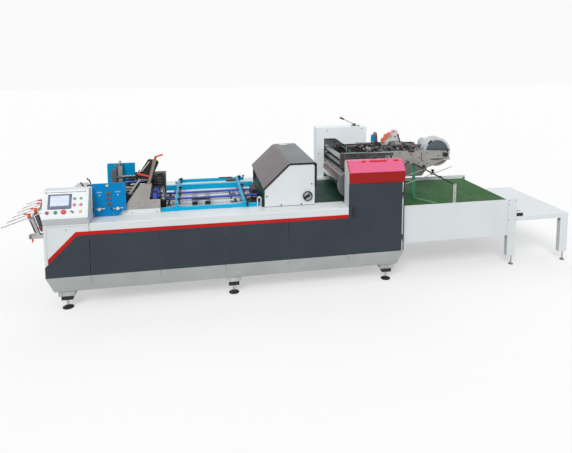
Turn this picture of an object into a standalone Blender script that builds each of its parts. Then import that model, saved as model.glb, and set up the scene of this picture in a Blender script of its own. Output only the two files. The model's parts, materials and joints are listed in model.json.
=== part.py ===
# Window patching machine: a sheet feeder, a transfer table, a gluing unit under a hood,
# a patching drum with its film arm, and a delivery belt with a receiving table.
# X runs along the machine in the direction of the sheets, Y from the operator's side to
# the back, Z up from the floor. Lengths are in metres.

import math

import bmesh
import bpy
from mathutils import Matrix, Vector

# Fits and sheet thicknesses
seat_gap = 0.0003
running_gap = 0.0065
panel_joint = 0.004
sheet = 0.003
panel_depth = 0.018

# Housing along the operator's side: control cabinet, equal bays, tall cabinet
control_length = 0.402
bay_length = 0.634
bay_count = 4
tall_length = 0.616
frame_depth = 1.54
side_depth = 0.25

# Heights of the housing, each from the one below it
kick_bottom = 0.18
kick_height = 0.163
panel_height = 0.399
stripe_height = 0.034
rail_height = 0.074
rail_round = 0.006
kick_inset = 0.055
bed_drop = 0.05
bed_thickness = 0.02
end_panel_thickness = 0.02

# Foot beams that cross under the housing
beam_width = 0.15
beam_height = 0.05
foot_inset = 0.108
foot_block = (0.105, 0.06, 0.045)
foot_stem_radius = 0.011
foot_disc_radius = 0.052
foot_disc_height = 0.012
first_foot = 0.163
middle_foot = 1.752
last_foot_inset = 0.160

# Control cabinet and its console
chamfer_start = 0.030
chamfer_end = 0.295
console_overhang = 0.045
console_low_rise = 0.075
console_height = 0.240
console_lean = 0.115
console_depth = 0.178
console_round = 0.006
screen_start = 0.050
screen_width = 0.204
screen_low = 0.091
screen_height = 0.136
screen_proud = 0.009
button_plate = 0.002
button_radius = 0.015
button_depth = 0.013
button_row = 0.060
button_pitch = 0.072
first_button = 0.048
stop_radius = 0.020
stop_depth = 0.022
pair_start = 0.281
pair_pitch = 0.055
pair_rows = (0.124, 0.183)
pair_radius = 0.012
pair_margin = 0.018

# Tall cabinet
tall_depth = 0.176
tall_wall = 0.004
tall_jamb = 0.024
band_rise = 0.250
band_height = 0.114
cap_height = 0.107
cap_slope_depth = 0.097
cap_round = 0.010
handle_height = 0.110
handle_width = 0.030
handle_inset = 0.052
hinge_radius = 0.006
hinge_barrel = 0.030
hinge_inset = 0.016
hinge_height = 0.117
door_hinge_place = 0.007
door_clearance = 0.005

# Hood over the gluing unit
hood_from_end = 0.853
hood_length = 0.530
hood_low_rise = 0.185
hood_slope_length = 0.264
hood_rise = 0.435
hood_corner = 0.018
hood_bend = 0.010
hood_cover_thickness = 0.022
hood_cover_edge = 0.008
hood_cover_overhang = 0.012
hood_back_drop = 0.245
hood_inset = 0.19
hood_side_thickness = 0.006
hood_wheel_radius = 0.052
hood_wheel_rise = 0.101
hood_wheel_from_end = 0.078

# Far frame of the patching unit
far_frame_from_end = 0.650
far_frame_length = 0.664
far_frame_rise = 0.645
far_frame_depth = 0.17
far_frame_round = 0.012
far_leg_width = 0.098
far_opening_rise = 0.500
far_arm_rise = 0.420
far_slope_place = 0.246
far_slope_length = 0.115
far_plate_inset = 0.03
far_plate_thickness = 0.02
lever_place = 0.520
lever_depth = 0.080
lever_height = 0.0205
lever_boss = 0.030
lever_boss_radius = 0.014
lever_length = 0.213
lever_radius = 0.006
lever_grip_radius = 0.012
lever_lean = 26.0

# Patching drum, its rollers and the frame that carries the near ends
drum_from_tall = 0.090
drum_rise = 0.178
drum_radius = 0.100
drum_front = 0.035
drum_back = 0.390
drum_flange_radius = 0.145
drum_flange_thickness = 0.020
drum_shaft_radius = 0.020
roller_radius = 0.027
roller_spacing = 0.022
roller_lean = 8.6
near_frame_rise = 0.340
near_frame_step = 0.028

# Film arm: near and far side plates, ties and the beam that carries it
arm_near_inset = 0.33
arm_width = 0.44
arm_plate_thickness = 0.020
arm_length = 1.322
arm_top_rise = 0.282
arm_tip_height = 0.114
arm_tip_length = 0.060
arm_slender_height = 0.148
arm_belly_height = 0.205
arm_far_height = 0.420
arm_tie_radius = 0.018
arm_beam_place = 0.322
arm_beam_width = 0.100
arm_beam_rise = 0.072

# Film reel on the arm
reel_from_tip = 0.135
reel_drop = 0.038
reel_radius = 0.172
reel_front = 0.045
reel_width = 0.150
reel_flange_radius = 0.142
reel_flange_thickness = 0.012
reel_hub_radius = 0.045
reel_shaft_radius = 0.015

# Film guides on top of the arm
guide_rail_start = 0.380
guide_rail_to_reel = 0.035
guide_rail_width = 0.040
guide_rail_height = 0.030
guide_place = 0.200
guide_bar_width = 0.040
guide_bar_inset = 0.060
film_head_width = 0.040
film_head_height = 0.150
tension_radius = 0.030
tension_discs = ((0.523, 0.080), (0.598, 0.144), (0.648, 0.148))
arch_width = 0.080
arch_height = 0.198
arch_place = 0.699

# Delivery: side plates, two belts on slider beds, legs
delivery_length = 1.441
delivery_front = 0.158
delivery_back_inset = 0.162
delivery_drop = 0.065
delivery_height = 0.423
patch_belt_drop = 0.015
delivery_belt_drop = 0.108
belt_thickness = 0.004
belt_end_radius = 0.040
belt_margin = 0.012
leg_width = 0.102
leg_depth = 0.060
leg_bottom = 0.110
leg_lap = 0.140
leg_tie_rise = 0.050
leg_tie_height = 0.050
small_stem_radius = 0.008
small_disc_radius = 0.028
small_disc_height = 0.010

# Sheet guides over the delivery belt
guide_post_place = 0.657
guide_post_width = 0.040
guide_post_rise = 0.150
guide_rod_radius = 0.007
guide_rod_reach = 0.413
guide_rod_climb = 0.218
guide_wire_radius = 0.0045
guide_wire_slope = 17.6
long_wire = (0.448, 0.344, 0.242)
short_wire = (0.628, 0.225, 0.021)
clamp_radius = 0.016
clamp_width = 0.040
clamp_screw_height = 0.040
clamp_knob_radius = 0.014

# Receiving table
table_length = 0.689
table_drop = 0.207
table_thickness = 0.055
table_inset = 0.004
stop_length = 0.085
stop_height = 0.060

# Feeder
feeder_front = 0.20
feeder_plate_length = 0.312
feeder_plate_rise = 0.330
feeder_plate_cut = (0.075, 0.100)
feeder_plate_thickness = 0.010
rear_plate_place = 0.063
rear_plate_length = 0.285
rear_plate_rise = 0.412
rear_plate_inset = 0.79
guard_front = 0.235
guard_place = 0.238
guard_thickness = 0.012
guard_length = 0.397
guard_rise = 0.296
guard_top_start = 0.210
guard_top_end = 0.322
guard_ledge = 0.135
guard_neck = 0.292
post_width = 0.035
post_depth = 0.030
post_foot = (0.255, 0.170)
post_head = (0.352, 0.525)
cover_place = 0.169
cover_front = 0.43
cover_depth = 0.040
cover_recess = 0.006
cover_rim = 0.014
wheel_radius = 0.050
wheel_width = 0.026
wheel_place = (0.345, 0.180)

# Transfer frame
transfer_place = 0.648
transfer_from_hood = 0.042
transfer_rise = 0.075
bar_width = 0.036
bar_height = 0.034
near_bar_inset = 0.0185
middle_bar_inset = 0.25
far_bar_inset = 0.27
far_bar_reach = 0.085
cross_bar_first = 0.143
cross_bar_last = 0.167
cross_bar_width = 0.030
cross_bar_height = 0.024
cross_bar_step = 0.006
cross_bar_hook = 0.010
transfer_leg_width = 0.024
rod_radius = 0.011
rod_from_near_bar = 0.272
rod_from_middle_bar = 0.245
rod_blocks = (0.325, 0.460)
rod_block_length = 0.060
rod_block_height = 0.016

# Infeed rack at the left end
rack_rod_count = 6
rack_rod_radius = 0.006
rack_reach = 0.471
rack_tip_drop = 0.104
rack_slope = 19.0
rack_rod_length = 0.52
rack_inset = 0.11
rack_back_inset = 0.36
rack_foot_reach = 0.150
rack_foot_drop = 0.20
rack_cross_place = 0.28
rack_cross_radius = 0.012
rack_bar = 0.040

# Worked-out heights
panel_bottom = kick_bottom + kick_height
panel_top = panel_bottom + panel_height
stripe_top = panel_top + stripe_height
rail_top = stripe_top + rail_height
bed_top = rail_top - bed_drop
beam_top = kick_bottom - seat_gap
patch_surface = rail_top - patch_belt_drop
delivery_surface = rail_top - delivery_belt_drop
band_bottom = rail_top + band_rise
band_top = band_bottom + band_height
cap_top = band_top + cap_height
hood_side_top = rail_top + hood_rise
far_frame_top = rail_top + far_frame_rise
far_arm_bottom = rail_top + far_arm_rise
delivery_top = rail_top - delivery_drop
delivery_bottom = delivery_top - delivery_height
table_top = delivery_top - table_drop
long_bar_top = rail_top + transfer_rise

# Worked-out places along the machine
bays_start = control_length
bays_end = bays_start + bay_count * bay_length
machine_end = bays_end + tall_length
hood_start = bays_end - hood_from_end
hood_end = hood_start + hood_length
far_frame_start = machine_end - far_frame_from_end
delivery_end = machine_end + delivery_length
foot_stations = (first_foot, middle_foot, machine_end - last_foot_inset)
feeder_start = bays_start + 0.001
guard_start = bays_start + guard_place
transfer_start = bays_start + transfer_place
transfer_end = hood_start - transfer_from_hood
cross_bar_stations = (transfer_start + cross_bar_first, transfer_end - cross_bar_last)

# Worked-out places across the machine
far_frame_face = frame_depth - far_frame_depth
far_plate_place = far_frame_face + far_plate_inset
delivery_back = frame_depth - delivery_back_inset
arm_near = side_depth + arm_near_inset
arm_far = arm_near + arm_width
near_bar = side_depth + near_bar_inset
far_bar = frame_depth - far_bar_inset
middle_bar = far_bar - middle_bar_inset

# Axes of the drum, the rollers above it and the reel, as places along and up
drum_axis = (bays_end + drum_from_tall, rail_top + drum_rise)
roller_reach = drum_radius + roller_radius + running_gap
lower_roller_axis = (drum_axis[0] + roller_reach * math.sin(math.radians(roller_lean)),
                     drum_axis[1] + roller_reach * math.cos(math.radians(roller_lean)))
upper_roller_axis = (lower_roller_axis[0], lower_roller_axis[1] + 2 * roller_radius + roller_spacing)
arm_top = drum_axis[1] + arm_top_rise
arm_end = drum_axis[0] + arm_length
arm_beam_start = drum_axis[0] + arm_beam_place
arm_beam_end = arm_beam_start + arm_beam_width
arm_beam_top = drum_axis[1] + arm_beam_rise
reel_axis = (arm_end - reel_from_tip, arm_top - reel_drop)
guide_rail_end = reel_axis[0] - reel_radius - guide_rail_to_reel


def to_space(first, second, axis, along):
    # Turns a point of an outline into a point in space; the outline lies across the axis.
    if axis == "X":
        return Vector((along, first, second))
    if axis == "Y":
        return Vector((first, along, second))
    return Vector((first, second, along))


def prism(outline, axis, start, end):
    # A closed outline pushed along one axis.
    bm = bmesh.new()
    ring = [bm.verts.new(to_space(a, b, axis, start)) for a, b in outline]
    face = bm.faces.new(ring)
    grown = bmesh.ops.extrude_face_region(bm, geom=[face])["geom"]
    moved = [item for item in grown if isinstance(item, bmesh.types.BMVert)]
    push = to_space(0.0, 0.0, axis, end - start)
    bmesh.ops.translate(bm, verts=moved, vec=push)
    bmesh.ops.recalc_face_normals(bm, faces=bm.faces)
    return bm


def block(x_range, y_range, z_range):
    (x0, x1), (y0, y1), (z0, z1) = x_range, y_range, z_range
    return prism([(x0, y0), (x1, y0), (x1, y1), (x0, y1)], "Z", z0, z1)


def cylinder(first, last, radius, segments=16, end_radius=None):
    # A round bar between two points; end_radius makes it a cone.
    first, last = Vector(first), Vector(last)
    bm = bmesh.new()
    turn = (last - first).to_track_quat("Z", "Y").to_matrix().to_4x4()
    place = Matrix.Translation((first + last) / 2) @ turn
    bmesh.ops.create_cone(
        bm, cap_ends=True, cap_tris=False, segments=segments, radius1=radius,
        radius2=radius if end_radius is None else end_radius,
        depth=(last - first).length, matrix=place)
    return bm


def turned(profile, centre, axis, segments=32):
    # A profile of (radius, distance along the axis) points, turned about the axis.
    bm = bmesh.new()
    direction = to_space(0.0, 0.0, axis, 1.0)
    across = to_space(1.0, 0.0, axis, 0.0)
    centre = Vector(centre)
    verts = [bm.verts.new(centre + across * r + direction * t) for r, t in profile]
    edges = [bm.edges.new(pair) for pair in zip(verts, verts[1:])]
    bmesh.ops.spin(
        bm, geom=verts + edges, cent=centre, axis=direction,
        angle=math.tau, steps=segments, use_merge=True, use_duplicate=False)
    bmesh.ops.remove_doubles(bm, verts=bm.verts, dist=0.00001)
    bmesh.ops.recalc_face_normals(bm, faces=bm.faces)
    return bm


def strip_outline(points, thickness):
    # The outline of a bent sheet: the points, and back along a line one thickness to the
    # right of them, mitred at each bend.
    inner = []
    for i, point in enumerate(points):
        here = Vector(point)
        before = Vector(points[i - 1]) if i > 0 else here
        after = Vector(points[i + 1]) if i + 1 < len(points) else here
        runs = [r.normalized() for r in (here - before, after - here) if r.length > 0]
        sides = [Vector((r.y, -r.x)) for r in runs]
        middle = sum(sides, Vector((0.0, 0.0))).normalized()
        inner.append(here + middle * (thickness / middle.dot(sides[0])))
    return [tuple(p) for p in points] + [tuple(p) for p in reversed(inner)]


def rounded(points, radius, corners=None, steps=4):
    # The outline with all or some of its corners, given by number, turned into arcs.
    result = []
    for i, point in enumerate(points):
        here = Vector(point)
        if corners is not None and i not in corners:
            result.append(tuple(here))
            continue
        back = (Vector(points[i - 1]) - here).normalized()
        ahead = (Vector(points[(i + 1) % len(points)]) - here).normalized()
        half = back.angle(ahead) / 2
        centre = here + (back + ahead).normalized() * (radius / math.sin(half))
        start = here + back * (radius / math.tan(half)) - centre
        end = here + ahead * (radius / math.tan(half)) - centre
        turn = math.copysign(math.pi - 2 * half, start.cross(end))
        for k in range(steps + 1):
            result.append(tuple(centre + Matrix.Rotation(turn * k / steps, 2) @ start))
    return result


def finish(name, bm, material, round_piece=False):
    mesh = bpy.data.meshes.new(name)
    bm.to_mesh(mesh)
    bm.free()
    piece = bpy.data.objects.new(name, mesh)
    bpy.context.scene.collection.objects.link(piece)
    mesh.materials.append(material)
    if round_piece:
        mesh.shade_smooth()
        mesh.set_sharp_from_angle(angle=math.radians(35))
    return piece


def combine(name, solids, material, round_piece=False, cuts=()):
    # One solid from several that pass into each other, less the cuts.
    piece = finish(name, solids[0], material, round_piece)
    for kind, group in (("UNION", solids[1:]), ("DIFFERENCE", cuts)):
        for number, bm in enumerate(group):
            tool = finish(f"{name}_{kind.lower()}_{number}", bm, material, round_piece)
            tool.hide_render = True
            tool.display_type = "WIRE"
            step = piece.modifiers.new(f"{kind.lower()}_{number}", "BOOLEAN")
            step.operation = kind
            step.solver = "EXACT"
            step.object = tool
    return piece


def paint(name, colour, roughness, metallic=0.0):
    material = bpy.data.materials.new(name)
    material.use_nodes = True
    shader = material.node_tree.nodes["Principled BSDF"]
    shader.inputs["Base Color"].default_value = (*colour, 1.0)
    shader.inputs["Roughness"].default_value = roughness
    shader.inputs["Metallic"].default_value = metallic
    return material


def set_origin(piece, point):
    # Puts the origin of a piece, and of its tools, on a point that it turns about.
    for item in [piece] + [step.object for step in piece.modifiers]:
        item.data.transform(Matrix.Translation(-Vector(point)))
        item.location = point


def foot(x, y, top):
    # A machine foot: block, stem and a turned disc, from the top of the block to the floor.
    width, depth, height = foot_block
    block_bottom = top - height
    body = block((x - width / 2, x + width / 2), (y - depth / 2, y + depth / 2),
                 (block_bottom, top + 0.004))
    stem = turned(
        [(0.0, 0.0), (foot_disc_radius, 0.0), (foot_disc_radius, foot_disc_height * 0.6),
         (foot_stem_radius * 2.0, foot_disc_height * 1.6), (foot_stem_radius, foot_disc_height * 1.9),
         (foot_stem_radius, block_bottom + 0.01), (0.0, block_bottom + 0.01)],
        (x, y, 0.0), "Z", 20)
    return [body, stem]


def small_foot(x, y, top):
    return turned(
        [(0.0, 0.0), (small_disc_radius, 0.0), (small_disc_radius, small_disc_height * 0.6),
         (small_stem_radius * 1.6, small_disc_height * 1.6),
         (small_stem_radius, small_disc_height * 2.0),
         (small_stem_radius, top + 0.01), (0.0, top + 0.01)],
        (x, y, 0.0), "Z", 16)


def build_housing(paints):
    # Front and back side housings: the painted top rail stands one panel depth proud.
    rail = [(0.0, stripe_top), (0.0, rail_top), (side_depth, rail_top), (side_depth, panel_bottom),
            (panel_depth, panel_bottom), (panel_depth, stripe_top)]
    rail = rounded(rail, rail_round, [1])
    flip = [(frame_depth - y, z) for y, z in rail]
    front_start = bays_start + seat_gap
    finish("front_housing", prism(rail, "X", front_start, bays_end - seat_gap), paints["white"])
    finish("back_housing", prism(flip, "X", 0.0, machine_end), paints["white"])

    # Kick plates lean in below the panels and taper at both ends.
    for name, mirrored in (("front_kick_plate", False), ("back_kick_plate", True)):
        bm = block((0.0, machine_end), (0.0, side_depth), (kick_bottom, panel_bottom - seat_gap))
        for vert in bm.verts:
            if vert.co.z < panel_bottom - kick_height / 2:
                vert.co.x += kick_inset if vert.co.x < machine_end / 2 else -kick_inset
                vert.co.y += kick_inset if vert.co.y < side_depth / 2 else 0.0
            if mirrored:
                vert.co.y = frame_depth - vert.co.y
        if mirrored:
            bmesh.ops.reverse_faces(bm, faces=bm.faces)
        finish(name, bm, paints["grey"])

    # Bed plate between the rails, and the sheets that close both ends below it.
    bed_range = (side_depth + seat_gap, frame_depth - side_depth - seat_gap)
    finish("bed_plate", block((bays_start, hood_start - end_panel_thickness), bed_range,
                              (bed_top - bed_thickness, bed_top)), paints["pale"])
    end_top = patch_surface - 2 * belt_end_radius - 0.03
    right_end = machine_end - end_panel_thickness
    for name, start in (("left_end_panel", bays_start), ("right_end_panel", right_end)):
        finish(name, block((start, start + end_panel_thickness), bed_range, (kick_bottom, end_top)),
               paints["white"])


def build_panels(paints):
    # Dark panels of the bays; the first has its upper corner cut off at 45 degrees.
    starts = [bays_start + i * bay_length for i in range(bay_count)]
    face = panel_depth - seat_gap
    slip = 2 * seat_gap
    band = stripe_height * math.sqrt(2)

    def cut_line(x, lift):
        return panel_top + x - chamfer_end + lift

    def cut_place(z, lift):
        return chamfer_end + z - panel_top - lift

    right = control_length - panel_joint
    first = [(0.0, panel_bottom), (right, panel_bottom), (right, panel_top), (chamfer_end, panel_top),
             (0.0, cut_line(0.0, 0.0))]
    finish("front_panel_1", prism(first, "Y", 0.0, face), paints["dark"])
    for number, start in enumerate(starts, start=2):
        finish(f"front_panel_{number}", block(
            (start, start + bay_length - panel_joint), (0.0, face),
            (panel_bottom, panel_top)), paints["dark"])

    # Red stripe: level along the bays, then down along the cut corner.
    top_line, low_line = stripe_top - seat_gap, panel_top + seat_gap
    stripe = [(bays_end - panel_joint, low_line), (bays_end - panel_joint, top_line),
              (cut_place(top_line, band), top_line), (chamfer_start, cut_line(chamfer_start, band)),
              (chamfer_start, cut_line(chamfer_start, slip)), (cut_place(low_line, slip), low_line)]
    finish("front_stripe", prism(stripe, "Y", -0.001, face), paints["red"])

    # Control cabinet: its body, with the white upper part of its front standing proud.
    left, above = chamfer_start - seat_gap, stripe_top + seat_gap
    white = [(0.0, cut_line(0.0, slip)), (left, cut_line(left, slip)), (left, cut_line(left, band + slip)),
             (cut_place(above, band + slip), above), (right, above), (right, rail_top), (0.0, rail_top)]
    body = block((0.0, control_length), (panel_depth, side_depth), (panel_bottom, rail_top))
    combine("control_cabinet", [body, prism(white, "Y", 0.0, panel_depth + 0.01)], paints["white"])

    # Back panels: one folded sheet per side of the machine, with a groove at each bay.
    back = frame_depth - panel_depth + seat_gap
    seams = [block((x - panel_joint / 2, x + panel_joint / 2), (frame_depth - 0.002, frame_depth + 0.01),
                   (panel_bottom - 0.01, stripe_top)) for x in starts + [bays_end]]
    combine("back_panels", [block((0.0, machine_end), (back, frame_depth),
                                  (panel_bottom, stripe_top - seat_gap))], paints["dark"], cuts=seams)


def build_foot_beams(paints):
    for number, station in enumerate(foot_stations, start=1):
        bottom = beam_top - beam_height
        span = (kick_inset + 0.01, frame_depth - kick_inset - 0.01)
        start = station - beam_width / 2
        solids = [block((start, start + beam_width), span, (bottom, beam_top))]
        for y in (foot_inset, frame_depth - foot_inset):
            solids += foot(station, y, bottom)
        combine(f"foot_beam_{number}", solids, paints["frame"])


def build_control(paints):
    # Console box that leans over the cabinet's front.
    base = rail_top + seat_gap
    console_low = rail_top + console_low_rise
    console_top = console_low + console_height
    outline = [(0.0, base), (-console_overhang, console_low),
               (console_lean - console_overhang, console_top),
               (console_depth, console_top), (console_depth, base)]
    finish("console_box", prism(rounded(outline, console_round, [1, 2, 3]), "X",
                                0.0, control_length - seat_gap), paints["white"])

    # Frame of the leaning face: along is up the slope, out is away from it.
    low_edge = Vector((0.0, -console_overhang, console_low))
    along = Vector((0.0, console_lean, console_height)).normalized()
    out = Vector((0.0, -along.z, along.y))

    def on_face(x, rise, proud):
        return Vector((x, 0.0, 0.0)) + low_edge + along * rise + out * (proud + seat_gap)

    def face_block(x0, x1, low, high, proud):
        bm = bmesh.new()
        corners = [on_face(x0, low, 0), on_face(x1, low, 0), on_face(x1, high, 0), on_face(x0, high, 0)]
        ring = bm.faces.new([bm.verts.new(c) for c in corners])
        grown = bmesh.ops.extrude_face_region(bm, geom=[ring])["geom"]
        bmesh.ops.translate(bm, verts=[g for g in grown if isinstance(g, bmesh.types.BMVert)],
                            vec=out * proud)
        bmesh.ops.recalc_face_normals(bm, faces=bm.faces)
        return bm

    def button(x, rise, radius, depth):
        return cylinder(on_face(x, rise, button_plate / 2), on_face(x, rise, depth), radius, 16)

    screen_end = screen_start + screen_width
    finish("touch_screen", face_block(screen_start, screen_end, screen_low, screen_low + screen_height,
                                      screen_proud), paints["black"])

    # Buttons stand on one thin strip that runs under the screen and up beside it.
    strip_end = pair_start + pair_pitch + pair_margin
    row_low, row_high = button_row - 1.5 * stop_radius, screen_low - seat_gap
    solids = [face_block(first_button - 1.5 * button_radius, strip_end, row_low, row_high, button_plate),
              face_block(screen_end + seat_gap, strip_end, row_high - 0.005, pair_rows[1] + pair_margin,
                         button_plate)]
    for number in range(5):
        wide = number == 2
        solids.append(button(first_button + number * button_pitch, button_row,
                             stop_radius if wide else button_radius,
                             stop_depth if wide else button_depth))
    for x in (pair_start, pair_start + pair_pitch):
        for rise in pair_rows:
            solids.append(button(x, rise, pair_radius, button_depth))
    combine("console_controls", solids, paints["grey"])


def build_tall_cabinet(paints):
    start, end = bays_end, machine_end
    face = panel_depth + seat_gap
    under_cap = cap_top - sheet - seat_gap
    shell = [(face, panel_bottom), (face, band_top), (cap_slope_depth + 3 * sheet, under_cap),
             (tall_depth, under_cap), (tall_depth, panel_bottom)]
    room = block((start + tall_wall, end - tall_jamb), (face - 0.001, tall_depth - tall_wall),
                 (panel_bottom + tall_wall, band_bottom - 0.02))
    solids = [prism(shell, "X", start, end)]

    # The door's two hinges: the cabinet's barrels stand below the door's.
    hinge = Vector((end - hinge_inset, door_hinge_place, 0.0))
    hinge_heights = (panel_bottom + hinge_height, band_bottom - hinge_height - 2 * hinge_barrel)
    for z in hinge_heights:
        solids.append(cylinder((hinge.x, hinge.y, z), (hinge.x, hinge.y, z + hinge_barrel),
                               hinge_radius, 12))
        solids.append(block((hinge.x, hinge.x + hinge_inset - tall_wall), (hinge.y - 0.002, face + 0.001),
                            (z + 0.002, z + hinge_barrel - 0.002)))
    combine("tall_cabinet", solids, paints["white"], cuts=[room])

    # Side frame behind the cabinet: it carries the near ends of the drum and the arm beam.
    post_start, post_top = start + near_frame_step, rail_top + near_frame_rise
    frame = [(start + seat_gap, panel_bottom), (start + seat_gap, rail_top), (post_start, rail_top),
             (post_start, post_top), (arm_beam_end, post_top), (arm_beam_end, rail_top), (end, rail_top),
             (end, panel_bottom)]
    finish("near_side_frame", prism(frame, "Y", tall_depth + seat_gap, side_depth), paints["cast"])

    # Red cap: a bent sheet over the band, the slope and the top.
    cap = [(0.0, band_bottom), (0.0, band_top), (cap_slope_depth, cap_top), (tall_depth, cap_top)]
    finish("tall_cap", prism(strip_outline(rounded(cap, cap_round, [1, 2]), sheet), "X", start, end),
           paints["red"])

    # Dark door, with a flush swing handle at the left.
    leaf_end = hinge.x - hinge_radius - running_gap
    solids = [block((start + 0.001, leaf_end), (0.0, panel_depth - door_clearance),
                    (panel_bottom + door_clearance, band_bottom - door_clearance))]
    for z in hinge_heights:
        low = z + hinge_barrel + seat_gap
        solids.append(cylinder((hinge.x, hinge.y, low), (hinge.x, hinge.y, low + hinge_barrel),
                               hinge_radius, 12))
        solids.append(block((leaf_end - 0.002, hinge.x), (hinge.y - 0.002, hinge.y + 0.002),
                            (low + 0.002, low + hinge_barrel - 0.002)))
    set_origin(combine("tall_door", solids, paints["dark"]), hinge)
    handle_x = start + handle_inset
    handle_z = stripe_top + 0.02
    outline = [(handle_x + a * handle_width / 2, handle_z + b * handle_height / 2)
               for a, b in ((-1, -1), (1, -1), (1, 1), (-1, 1))]
    grip = finish("door_handle", prism(rounded(outline, handle_width * 0.4), "Y", -0.014, -seat_gap),
                  paints["steel"])
    set_origin(grip, hinge)


def build_hood(paints):
    low = rail_top + hood_low_rise
    base = rail_top + seat_gap
    lift = hood_cover_thickness + seat_gap
    side = [(hood_start, base), (hood_start, low),
            (hood_start + hood_slope_length, hood_side_top), (hood_end - hood_corner, hood_side_top),
            (hood_end, hood_side_top - hood_corner), (hood_end, base)]
    side = rounded(side, hood_bend, [2], steps=6)
    back = frame_depth - hood_inset
    for name, y in (("hood_side_front", hood_inset), ("hood_side_back", back - hood_side_thickness)):
        finish(name, prism(side, "Y", y, y + hood_side_thickness), paints["white"])

    # Bent cover that runs across both sides, its inner face resting on their top edges.
    slope = Vector((hood_slope_length, hood_side_top - low)).normalized()
    out = Vector((-slope.y, slope.x)) * lift
    bend_x = hood_start + hood_slope_length + out.x + (lift - out.y) * slope.x / slope.y
    outer = [(hood_start + out.x, low + out.y), (bend_x, hood_side_top + lift),
             (hood_end + lift, hood_side_top + lift), (hood_end + lift, hood_side_top - hood_back_drop)]
    outer = rounded(outer, hood_bend + lift, [1], steps=6)
    outer = rounded(outer, hood_cover_edge, [len(outer) - 2])
    finish("hood_cover", prism(strip_outline(outer, hood_cover_thickness), "Y",
                               hood_inset - hood_cover_overhang, back + hood_cover_overhang), paints["hood"])

    # Handwheel on the operator's side of the hood: a rim, a bar across it and a hub.
    x, z = hood_end - hood_wheel_from_end, rail_top + hood_wheel_rise
    face = hood_inset - seat_gap
    inner = hood_wheel_radius - 0.009
    rim = turned([(inner, -0.022), (hood_wheel_radius, -0.022), (hood_wheel_radius, -0.010),
                  (inner, -0.010), (inner, -0.022)], (x, face, z), "Y", 32)
    bar = block((x - inner - 0.004, x + inner + 0.004), (face - 0.020, face - 0.012), (z - 0.014, z + 0.014))
    hub = cylinder((x, face - 0.026, z), (x, face, z), 0.014, 20)
    wheel = combine("hood_wheel", [rim, bar, hub], paints["black"], round_piece=True)
    set_origin(wheel, (x, hood_inset, z))


def build_far_frame(paints):
    start = far_frame_start
    end = start + far_frame_length
    base = rail_top + seat_gap
    slope_start = start + far_slope_place
    opening_top = rail_top + far_opening_rise
    outline = [(start, base), (start, far_frame_top), (end, far_frame_top), (end, far_arm_bottom),
               (slope_start + far_slope_length, far_arm_bottom), (slope_start, opening_top),
               (start + far_leg_width, opening_top), (start + far_leg_width, base)]
    outline = rounded(outline, far_frame_round, [1, 2, 3])
    pivot = Vector((start + lever_place, far_frame_face + lever_depth, far_frame_top + lever_height))
    ears = []
    for side in (-1, 1):
        inner, outer = side * (lever_boss / 2 + seat_gap), side * (lever_boss / 2 + 0.008)
        low, high = sorted((pivot.y + inner, pivot.y + outer))
        ears.append(block((pivot.x - 0.018, pivot.x + 0.018), (low, high),
                          (far_frame_top - 0.01, pivot.z + 0.012)))
    combine("far_frame", [prism(outline, "Y", far_frame_face, frame_depth)] + ears, paints["white"])
    finish("far_side_plate", block((start + far_leg_width + seat_gap, end - 0.01),
                                   (far_plate_place, far_plate_place + far_plate_thickness),
                                   (base, far_arm_bottom - seat_gap)), paints["steel"])

    # Clamping lever on top of the far frame, its boss between two ears of the frame.
    lean = math.radians(lever_lean)
    tip = pivot + Vector((-math.cos(lean), 0.0, math.sin(lean))) * lever_length
    half = Vector((0.0, lever_boss / 2, 0.0))
    boss = cylinder(pivot - half, pivot + half, lever_boss_radius, 20)
    stick = cylinder(pivot, tip, lever_radius, 10)
    grip = cylinder(pivot.lerp(tip, 0.72), pivot.lerp(tip, 1.01), lever_grip_radius, 12)
    lever = combine("frame_lever", [boss, stick, grip], paints["black"], round_piece=True)
    set_origin(lever, pivot)


def build_patching_unit(paints):
    dx, dz = drum_axis
    start, end = side_depth + drum_front, frame_depth - drum_back
    flange = start - drum_flange_thickness
    near_end, far_end = side_depth + seat_gap, far_plate_place - seat_gap
    edge = 0.003
    profile = [(0.0, near_end), (drum_shaft_radius, near_end), (drum_shaft_radius, flange),
               (drum_flange_radius - edge, flange), (drum_flange_radius, flange + edge),
               (drum_flange_radius, start), (drum_radius, start), (drum_radius, end - edge),
               (drum_radius - edge, end), (drum_shaft_radius * 2, end),
               (drum_shaft_radius * 2, end + 0.04), (drum_shaft_radius, end + 0.04),
               (drum_shaft_radius, far_end), (0.0, far_end)]
    drum = finish("patch_drum", turned(profile, (dx, 0.0, dz), "Y", 48), paints["chrome"], True)
    set_origin(drum, (dx, 0.0, dz))

    roller_start = arm_near + arm_plate_thickness + seat_gap
    shaft = roller_radius * 0.45
    for name, (x, z) in (("upper_roller", upper_roller_axis), ("lower_roller", lower_roller_axis)):
        body = [(0.0, roller_start), (shaft, roller_start), (shaft, roller_start + 0.02),
                (roller_radius, roller_start + 0.02), (roller_radius, far_end - 0.06),
                (shaft, far_end - 0.06), (shaft, far_end), (0.0, far_end)]
        roller = finish(name, turned(body, (x, 0.0, z), "Y", 24), paints["chrome"], True)
        set_origin(roller, (x, 0.0, z))


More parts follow.
